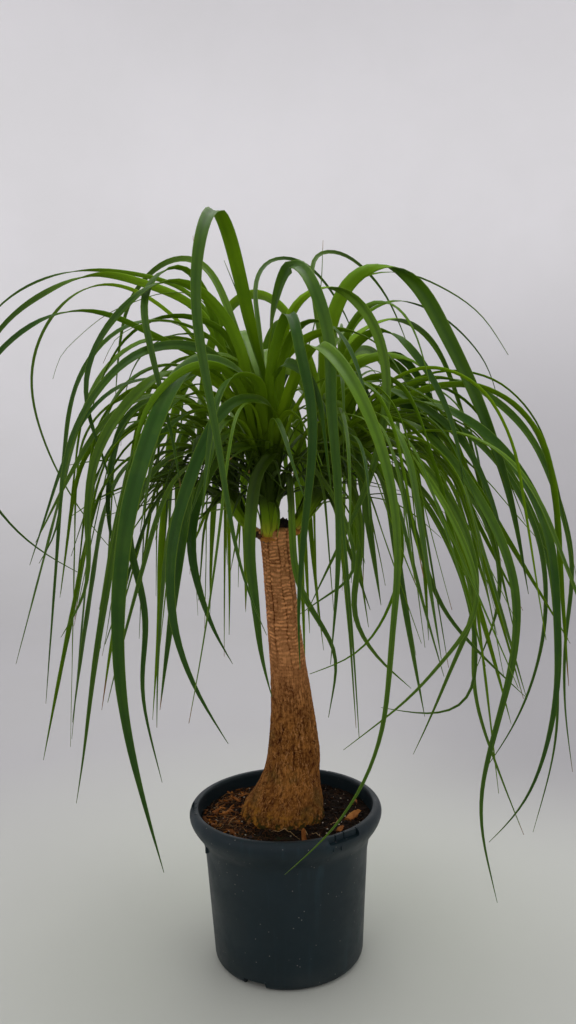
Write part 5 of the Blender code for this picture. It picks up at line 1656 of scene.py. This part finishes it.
def build_stems():
    """The short stems that carry the heads, sunk in the trunk's top."""
    bm, rise_layer = new_form("rise")
    for head, (_, foot, top) in STEMS.items():
        line = stem_line(head, STEM_UP + 1)
        ahead = unit(np.gradient(line, axis=0))
        for vert, angle, share in round_grid(bm, STEM_AROUND, STEM_UP):
            row = round(share * STEM_UP)
            share = row / STEM_UP
            side = unit(np.cross(ahead[row], (0.0, 1.0, 0.0)))
            other = np.cross(ahead[row], side)
            radius = (foot + (top - foot) * share) * 0.83
            radius *= 1 + 0.05 * wavering(math.cos(angle), math.sin(angle), share * 9)
            radius *= 1 - 0.25 * smooth_step((share - 0.8) / 0.2)
            if row in (0, STEM_UP):
                radius = 0.0
            place = line[row] + (side * math.cos(angle) + other * math.sin(angle)) * radius
            vert.co = Vector(place) * CM
            vert[rise_layer] = share
    close_form(bm)
    return finish_piece("crown_stems", bm, [crown_skin()])


def sheathed_line(head, line):
    """The leaf's line with its clasping foot, the direction outwards and where the root is."""
    last = STEM_SAMPLES - 1
    axis = stem_line(head, STEM_SAMPLES)
    along_axis = distances(axis)
    _, foot, top = STEMS[head]
    near = int(np.argmin(np.linalg.norm(axis - line[0], axis=1)))
    share = near / last
    ahead = unit(axis[min(near + 1, last)] - axis[max(near - 1, 0)])
    along = distances(line)
    outward = at_distances(7.0, along, line) - line[0]
    outward = unit(outward - outward @ ahead * ahead)
    radius = foot + (top - foot) * share
    lift = 0.86 * radius + 0.04 + 0.16 * (1 - share)
    top_at = along_axis[near]
    low_at = max(top_at - SHEATH_LENGTH, 0.9)
    sheath = []
    for at in np.linspace(low_at, top_at, 5)[:-1]:
        out = unit(outward - outward @ ahead * ahead)
        inset = 0.1 * (1 - (at - low_at) / SHEATH_LENGTH)
        sheath.append(at_distances(at, along_axis, axis) + out * (lift - inset))
    moved = line + outward * (lift * (1 - fade(along, 0.0, SHEATH_FADE)))[:, None]
    joined = evenly(np.concatenate([np.array(sheath), moved]), 3 * SAMPLES)
    for _ in range(SHEATH_ROUNDS):
        near_root = 1 - fade(distances(joined), 8.0, 14.0)
        middle = (joined[:-2] + joined[2:]) / 2
        joined[1:-1] += (middle - joined[1:-1]) * near_root[1:-1, None] * 0.5
    return joined, outward, top_at - low_at, radius, low_at


def angle_to_front(side, faces):
    """The turn at each point that shows a blade's whole width from the front."""
    plain = side[:, 1] ** 2 - 0.25 * side[:, 0] ** 2
    turned = faces[:, 1] ** 2 - 0.25 * faces[:, 0] ** 2
    mixed = side[:, 1] * faces[:, 1] - 0.25 * side[:, 0] * faces[:, 0]
    angle = 0.5 * np.arctan2(2 * mixed, plain - turned) + math.pi / 2
    angle = np.unwrap(angle, period=math.pi)
    return angle - math.pi * round(angle[len(angle) // 2] / math.pi)


def turned_over(line, share, side, faces, angle):
    """The turn of a leaf that heads sideways: underside showing going up, upper side going down."""
    falling = int(0.72 * len(angle))
    half_turn = math.copysign(math.pi, angle[len(angle) // 2])
    upper = faces[falling, 1] * math.cos(angle[falling]) - side[falling, 1] * math.sin(angle[falling])
    down = angle - half_turn if upper > 0 else angle
    peak = share[int(np.argmax(line[:, 2]))]
    if peak < 0.16:
        return down, fade(share, 0.0, 0.34)
    up = angle if upper > 0 else angle - half_turn
    over = fade(share, peak - 0.09, peak + 0.13)
    return up * (1 - over) + down * over, fade(share, 0.0, 0.22)


def carried_faces(line, first_face, twist, facing, root):
    """The blade's upper side at each point, carried along without spin and then turned."""
    ahead = unit(np.gradient(line, axis=0))
    face = unit(first_face - first_face @ ahead[0] * ahead[0])
    faces = [face]
    for step in ahead[1:]:
        face = unit(face - face @ step * step)
        faces.append(face)
    faces = np.array(faces)
    along = distances(line)
    share = ((along - root) / (along[-1] - root)).clip(0, 1)
    side = np.cross(ahead, faces)
    angle = angle_to_front(side, faces)
    sideways = abs(math.sin(angle[len(angle) // 2]))
    facing *= 1 - 0.6 * sideways if facing < FACING else 1.0
    set_in = fade(share, 0.02 * sideways, 0.14 + 0.3 * sideways)
    run = line[len(line) // 2] - line[0]
    if abs(run[0]) > TURNS_OVER * math.hypot(run[0], run[1]):
        angle, set_in = turned_over(line, share, side, faces, angle)
    turn = facing * angle * set_in + (1 - facing) * math.radians(twist) * share * share * (3 - 2 * share)
    across = unit(side * np.cos(turn)[:, None] + faces * np.sin(turn)[:, None])
    return across, np.cross(across, ahead)


def blade_widths(along, root, half):
    """Half the blade's width at each point: a broad clasping foot, then the blade and a fine tip."""
    share = ((along - root) / (along[-1] - root)).clip(0, 1)
    plain = np.interp(share, *BLADE_WIDTHS) * half
    foot = 0.18 + 0.38 * half
    held = 1 - fade(along, root - 0.5, root + 4.5)
    start = 0.55 + 0.45 * fade(along, 0.0, 0.8)
    return (plain * (1 - held) + np.maximum(foot, plain) * held) * start


def add_blade(bm, layers, rng, head, half, line, twist, facing, number):
    """One leaf as an open grid; a Solidify modifier gives it its thickness."""
    path, outward, root, stem_radius, low_at = sheathed_line(head, line)
    along = distances(path)
    rows = int(min(max(along[-1] / ROW_STEP, BLADE_ROWS[0]), BLADE_ROWS[1]))
    warp = np.linspace(0, 1, rows + 1)
    where = (warp * 0.75 + warp * warp * 0.25) * along[-1]
    across, up = carried_faces(path, -outward + np.array([0, 0, 0.12]), twist, facing, root)
    centre = at_distances(where, along, path)
    side = unit(at_distances(where, along, across))
    rise = unit(at_distances(where, along, up))
    share = ((where - root) / (along[-1] - root)).clip(0, 1)
    wide = np.interp(where, along, blade_widths(along, root, half))
    wide = wide * (1 - SLENDER.get(number, 0.0) * fade(share, 0.2, 0.6))
    fold = np.interp(share, *BLADE_FOLD) * rng.uniform(0.75, 1.2)
    u = np.linspace(-1, 1, BLADE_ACROSS + 1)
    ripple_step = rng.uniform(5.0, 9.0)
    ripple_start = rng.uniform(0, 6.3)
    ripple = 0.05 * half * np.sin(where / ripple_step * 6.28 + ripple_start)
    lateral = np.outer(wide, u)
    open_up = np.outer(fold * wide, np.abs(u) ** 1.2)
    open_up = open_up + np.outer(ripple * share * (1 - share) * 4, u * np.abs(u))
    bent = stem_radius + 0.25
    wrap = (lateral / bent).clip(-1.5, 1.5)
    clasp = (1 - fade(where, root + 0.5, root + 7.0))[:, None]
    out = lateral * (1 - clasp) + bent * np.sin(wrap) * clasp
    lift = open_up * (1 - clasp) + bent * (1 - np.cos(wrap)) * clasp
    pleat = 0.018 * np.cos(u * math.pi * 4)[None, :] * (wide / max(half, 0.2))[:, None]
    lift = lift + pleat * (1 - clasp)
    places = centre[:, None, :] + side[:, None, :] * out[..., None] + rise[:, None, :] * lift[..., None]
    tone = SHADES.get(number, rng.random())
    dry = rng.random() if rng.random() < 0.3 else 0.0
    grid = bmesh.ops.create_grid(bm, x_segments=BLADE_ACROSS, y_segments=rows, size=1.0, calc_uvs=True)
    for vert in grid["verts"]:
        i = round((vert.co.x + 1) / 2 * BLADE_ACROSS)
        j = round((vert.co.y + 1) / 2 * rows)
        vert.co = Vector(places[j, i]) * CM
        vert[layers["tone"]] = tone
        vert[layers["reach"]] = (where[j] - root) * CM
        vert[layers["above"]] = (low_at + where[j]) * CM
        vert[layers["dry"]] = dry


def build_head(name, head, leaves, materials, settings):
    rng = random.Random(name)
    bm = bmesh.new()
    bm.loops.layers.uv.new("UVMap")
    layers = {label: bm.verts.layers.float.new(label) for label in ("tone", "reach", "above", "dry")}
    for leaf in leaves:
        if leaf[0] == head:
            add_blade(bm, layers, rng, *leaf)
    piece = finish_piece(name, bm, materials, [head])
    thick = piece.modifiers.new("blade_thickness", "SOLIDIFY")
    thick.thickness = settings.thickness
    thick.offset = -1.0
    thick.use_rim = True
    thick.material_offset = 1
    thick.material_offset_rim = 0


def build_leaves(settings):
    leaves = grown_leaves()
    materials = [leaf_finish("leaf_upper", settings, False), leaf_finish("leaf_under", settings, True)]
    for name, head in (("leaves_front", FRONT), ("leaves_right", RIGHT), ("leaves_left", LEFT)):
        build_head(name, head, leaves, materials, settings)


def add_light(name, place, target, size, power, colour):
    light = bpy.data.lights.new(name, "AREA")
    light.shape = "RECTANGLE"
    light.size = size[0]
    light.size_y = size[1]
    light.energy = power
    light.color = colour
    lamp = bpy.data.objects.new(name, light)
    lamp.location = place
    lamp.rotation_euler = (Vector(target) - Vector(place)).to_track_quat("-Z", "Y").to_euler()
    lamp.visible_camera = False
    bpy.context.scene.collection.objects.link(lamp)


# The lights: name, place, what it points at, width and height, its power's setting, and colour.
LIGHTS = (
    ("key_light", (-1.3, -1.7, 2.5), (0, 0, 0.5), (1.6, 1.2), "key_power", (1.0, 0.985, 0.96)),
    ("fill_light", (1.9, -1.5, 1.6), (0, 0, 0.45), (1.6, 1.4), "fill_power", (1.0, 1.0, 0.98)),
    ("top_light", (0.2, 0.4, 3.0), (0, 0, 0.5), (2.2, 2.2), "top_power", (1.0, 1.0, 1.0)),
    ("back_light", (0.6, 2.3, 1.9), (0, 0, 0.5), (1.8, 1.2), "back_power", (1.0, 1.0, 0.97)),
)


def add_camera():
    data = bpy.data.cameras.new("front_camera")
    data.lens = CAMERA_LENS
    data.sensor_width = 36.0
    data.sensor_fit = "AUTO"
    data.clip_start = 0.02
    data.clip_end = 20.0
    camera = bpy.data.objects.new("front_camera", data)
    camera.location = CAMERA_PLACE
    camera.rotation_euler = (turn_about("X", 90 - CAMERA_DOWN) @ turn_about("Z", CAMERA_ROLL)).to_euler()
    bpy.context.scene.collection.objects.link(camera)
    bpy.context.scene.camera = camera


def build_stage(settings):
    bm = spun(STAGE_OUTLINE, STAGE_STEPS, (((1,), STAGE_ROUNDING, 16),))
    floor = mesh_object("stage_floor", bm, [plain_stage(settings)])
    floor.data.shade_smooth()
    for name, place, target, size, power, colour in LIGHTS:
        add_light(name, place, target, size, getattr(settings, power), colour)
    scene = bpy.context.scene
    world = bpy.data.worlds.new("soft_room")
    world.use_nodes = True
    background = world.node_tree.nodes["Background"]
    background.inputs["Color"].default_value = (0.9, 0.9, 0.87, 1.0)
    background.inputs["Strength"].default_value = settings.room_light
    scene.world = world
    scene.view_settings.view_transform = "Standard"
    add_camera()


class PotSettings(bpy.types.PropertyGroup):
    sides: IntProperty(
        name="Sides", description="Steps that the pot's round form is turned in", default=160, min=32, max=256
    )
    colour: FloatVectorProperty(
        name="Colour", description="Colour of the moulded plastic", subtype="COLOR",
        default=(0.0038, 0.0125, 0.0170),
    )
    dust: FloatProperty(
        name="Dust", description="Share of the surface's cells with a speck of dust", subtype="FACTOR",
        default=0.05, min=0.0, max=1.0,
    )


class SoilSettings(bpy.types.PropertyGroup):
    colour: FloatVectorProperty(
        name="Colour", description="Colour of the damp soil", subtype="COLOR", default=(0.008, 0.0034, 0.0010)
    )
    chips: IntProperty(name="Bark chips", description="Small chips on the soil", default=640, min=0)
    fibres: IntProperty(name="Fibres", description="Coir threads on the soil", default=760, min=0)
    perlite: IntProperty(name="Perlite", description="White grains on the soil", default=120, min=0)
    seed: IntProperty(name="Seed", description="Start of the scatter's random draws", default=5)


class TrunkSettings(bpy.types.PropertyGroup):
    light_colour: FloatVectorProperty(
        name="Ridges", description="Colour of the bark's light ridges", subtype="COLOR",
        default=(0.72, 0.36, 0.145),
    )
    dark_colour: FloatVectorProperty(
        name="Cracks", description="Colour of the bark's darker parts", subtype="COLOR",
        default=(0.14, 0.048, 0.014),
    )
    ridge_spacing: FloatProperty(
        name="Ridge spacing", description="Height between two leaf scars, in centimetres", default=0.46,
        min=0.1,
    )
    crack_depth: FloatProperty(
        name="Crack depth", description="Depth of the upright cracks, in centimetres", default=0.11, min=0.0
    )


class LeafSettings(bpy.types.PropertyGroup):
    thickness: FloatProperty(
        name="Thickness", description="Thickness of a blade", unit="LENGTH", default=0.0005, min=0.0001
    )
    deep_colour: FloatVectorProperty(
        name="Deep green", description="The darker leaves' upper side", subtype="COLOR",
        default=(0.024, 0.086, 0.0015),
    )
    bright_colour: FloatVectorProperty(
        name="Bright green", description="The lighter leaves' upper side", subtype="COLOR",
        default=(0.125, 0.245, 0.006),
    )
    # The undersides' colours are partly painted light: lighter and yellower than the leaf's own underside, as
    # light shining through the blade.
    under_deep_backlit_colour: FloatVectorProperty(
        name="Deep underside", description="The darker leaves' lower side", subtype="COLOR",
        default=(0.085, 0.190, 0.001),
    )
    under_bright_backlit_colour: FloatVectorProperty(
        name="Bright underside", description="The lighter leaves' lower side", subtype="COLOR",
        default=(0.190, 0.345, 0.002),
    )
    fresh_colour: FloatVectorProperty(
        name="Fresh green", description="Young green near the crown", subtype="COLOR",
        default=(0.20, 0.33, 0.004),
    )
    root_colour: FloatVectorProperty(
        name="Root", description="Colour of the clasping feet", subtype="COLOR", default=(0.36, 0.40, 0.02)
    )


class StageSettings(bpy.types.PropertyGroup):
    key_power: FloatProperty(name="Key", description="Power of the key light", unit="POWER", default=6.0)
    fill_power: FloatProperty(name="Fill", description="Power of the fill", unit="POWER", default=3.5)
    top_power: FloatProperty(name="Top", description="Power of the top light", unit="POWER", default=41.0)
    back_power: FloatProperty(name="Back", description="Power of the back light", unit="POWER", default=4.0)
    room_light: FloatProperty(name="Room", description="Strength of the room's light", default=0.25)
    backdrop_colour: FloatVectorProperty(
        name="Backdrop", description="Colour of the floor and backdrop", subtype="COLOR",
        default=(0.622, 0.612, 0.630),
    )
    floor_colour: FloatVectorProperty(
        name="Floor", description="Colour of the floor round the pot", subtype="COLOR",
        default=(0.60, 0.62, 0.56),
    )
    backdrop_glow: FloatProperty(name="Glow", description="Light of the backdrop's upper part", default=0.44)


class PALM_OT_pot(bpy.types.Operator):
    """Build the nursery pot"""

    bl_idname = "palm.pot"
    bl_label = "Nursery pot"

    def execute(self, context):
        build_pot(context.scene.palm_pot)
        return {"FINISHED"}


class PALM_OT_soil(bpy.types.Operator):
    """Build the soil's surface"""

    bl_idname = "palm.soil"
    bl_label = "Soil"

    def execute(self, context):
        build_soil(context.scene.palm_soil)
        return {"FINISHED"}


class PALM_OT_litter(bpy.types.Operator):
    """Scatter bark chips, coir and perlite on the soil"""

    bl_idname = "palm.litter"
    bl_label = "Bark, coir and perlite"

    def execute(self, context):
        settings = context.scene.palm_soil
        build_chips(settings)
        build_big_chips(settings)
        build_fibres(settings)
        build_perlite(settings)
        return {"FINISHED"}


class PALM_OT_trunk(bpy.types.Operator):
    """Build the corky trunk and its cut top"""

    bl_idname = "palm.trunk"
    bl_label = "Trunk"

    def execute(self, context):
        build_trunk(context.scene.palm_trunk)
        build_scars()
        return {"FINISHED"}


class PALM_OT_stems(bpy.types.Operator):
    """Build the short stems of the three heads"""

    bl_idname = "palm.stems"
    bl_label = "Crown stems"

    def execute(self, context):
        build_stems()
        return {"FINISHED"}


class PALM_OT_leaves(bpy.types.Operator):
    """Build the leaves of the three heads"""

    bl_idname = "palm.leaves"
    bl_label = "Leaves"

    def execute(self, context):
        build_leaves(context.scene.palm_leaves)
        return {"FINISHED"}


class PALM_OT_stage(bpy.types.Operator):
    """Set up the floor, the lights and the camera"""

    bl_idname = "palm.stage"
    bl_label = "Stage"

    def execute(self, context):
        build_stage(context.scene.palm_stage)
        return {"FINISHED"}


class PALM_PT_panel(bpy.types.Panel):
    """Lists the pieces and their settings"""

    bl_idname = "PALM_PT_panel"
    bl_label = "Potted palm"
    bl_space_type = "VIEW_3D"
    bl_region_type = "UI"
    bl_category = "Palm"

    def draw(self, context):
        for operators, settings in PANEL_ROWS:
            column = self.layout.column(align=True)
            for operator in operators:
                column.operator(operator.bl_idname)
            group = getattr(context.scene, settings)
            for name in group.__annotations__:
                column.prop(group, name)


PANEL_ROWS = (
    ((PALM_OT_pot,), "palm_pot"),
    ((PALM_OT_soil, PALM_OT_litter), "palm_soil"),
    ((PALM_OT_trunk,), "palm_trunk"),
    ((PALM_OT_stems, PALM_OT_leaves), "palm_leaves"),
    ((PALM_OT_stage,), "palm_stage"),
)
SETTINGS = {
    "palm_pot": PotSettings,
    "palm_soil": SoilSettings,
    "palm_trunk": TrunkSettings,
    "palm_leaves": LeafSettings,
    "palm_stage": StageSettings,
}
CLASSES = (
    *SETTINGS.values(),
    PALM_OT_pot,
    PALM_OT_soil,
    PALM_OT_litter,
    PALM_OT_trunk,
    PALM_OT_stems,
    PALM_OT_leaves,
    PALM_OT_stage,
    PALM_PT_panel,
)


def register():
    for item in CLASSES:
        bpy.utils.register_class(item)
    for name, group in SETTINGS.items():
        setattr(bpy.types.Scene, name, PointerProperty(type=group))


def unregister():
    for name in SETTINGS:
        delattr(bpy.types.Scene, name)
    for item in reversed(CLASSES):
        bpy.utils.unregister_class(item)


def main():
    register()
    bpy.ops.palm.pot()
    bpy.ops.palm.soil()
    bpy.ops.palm.litter()
    bpy.ops.palm.trunk()
    bpy.ops.palm.stems()
    bpy.ops.palm.leaves()
    bpy.ops.palm.stage()


if __name__ == "__main__":
    main()
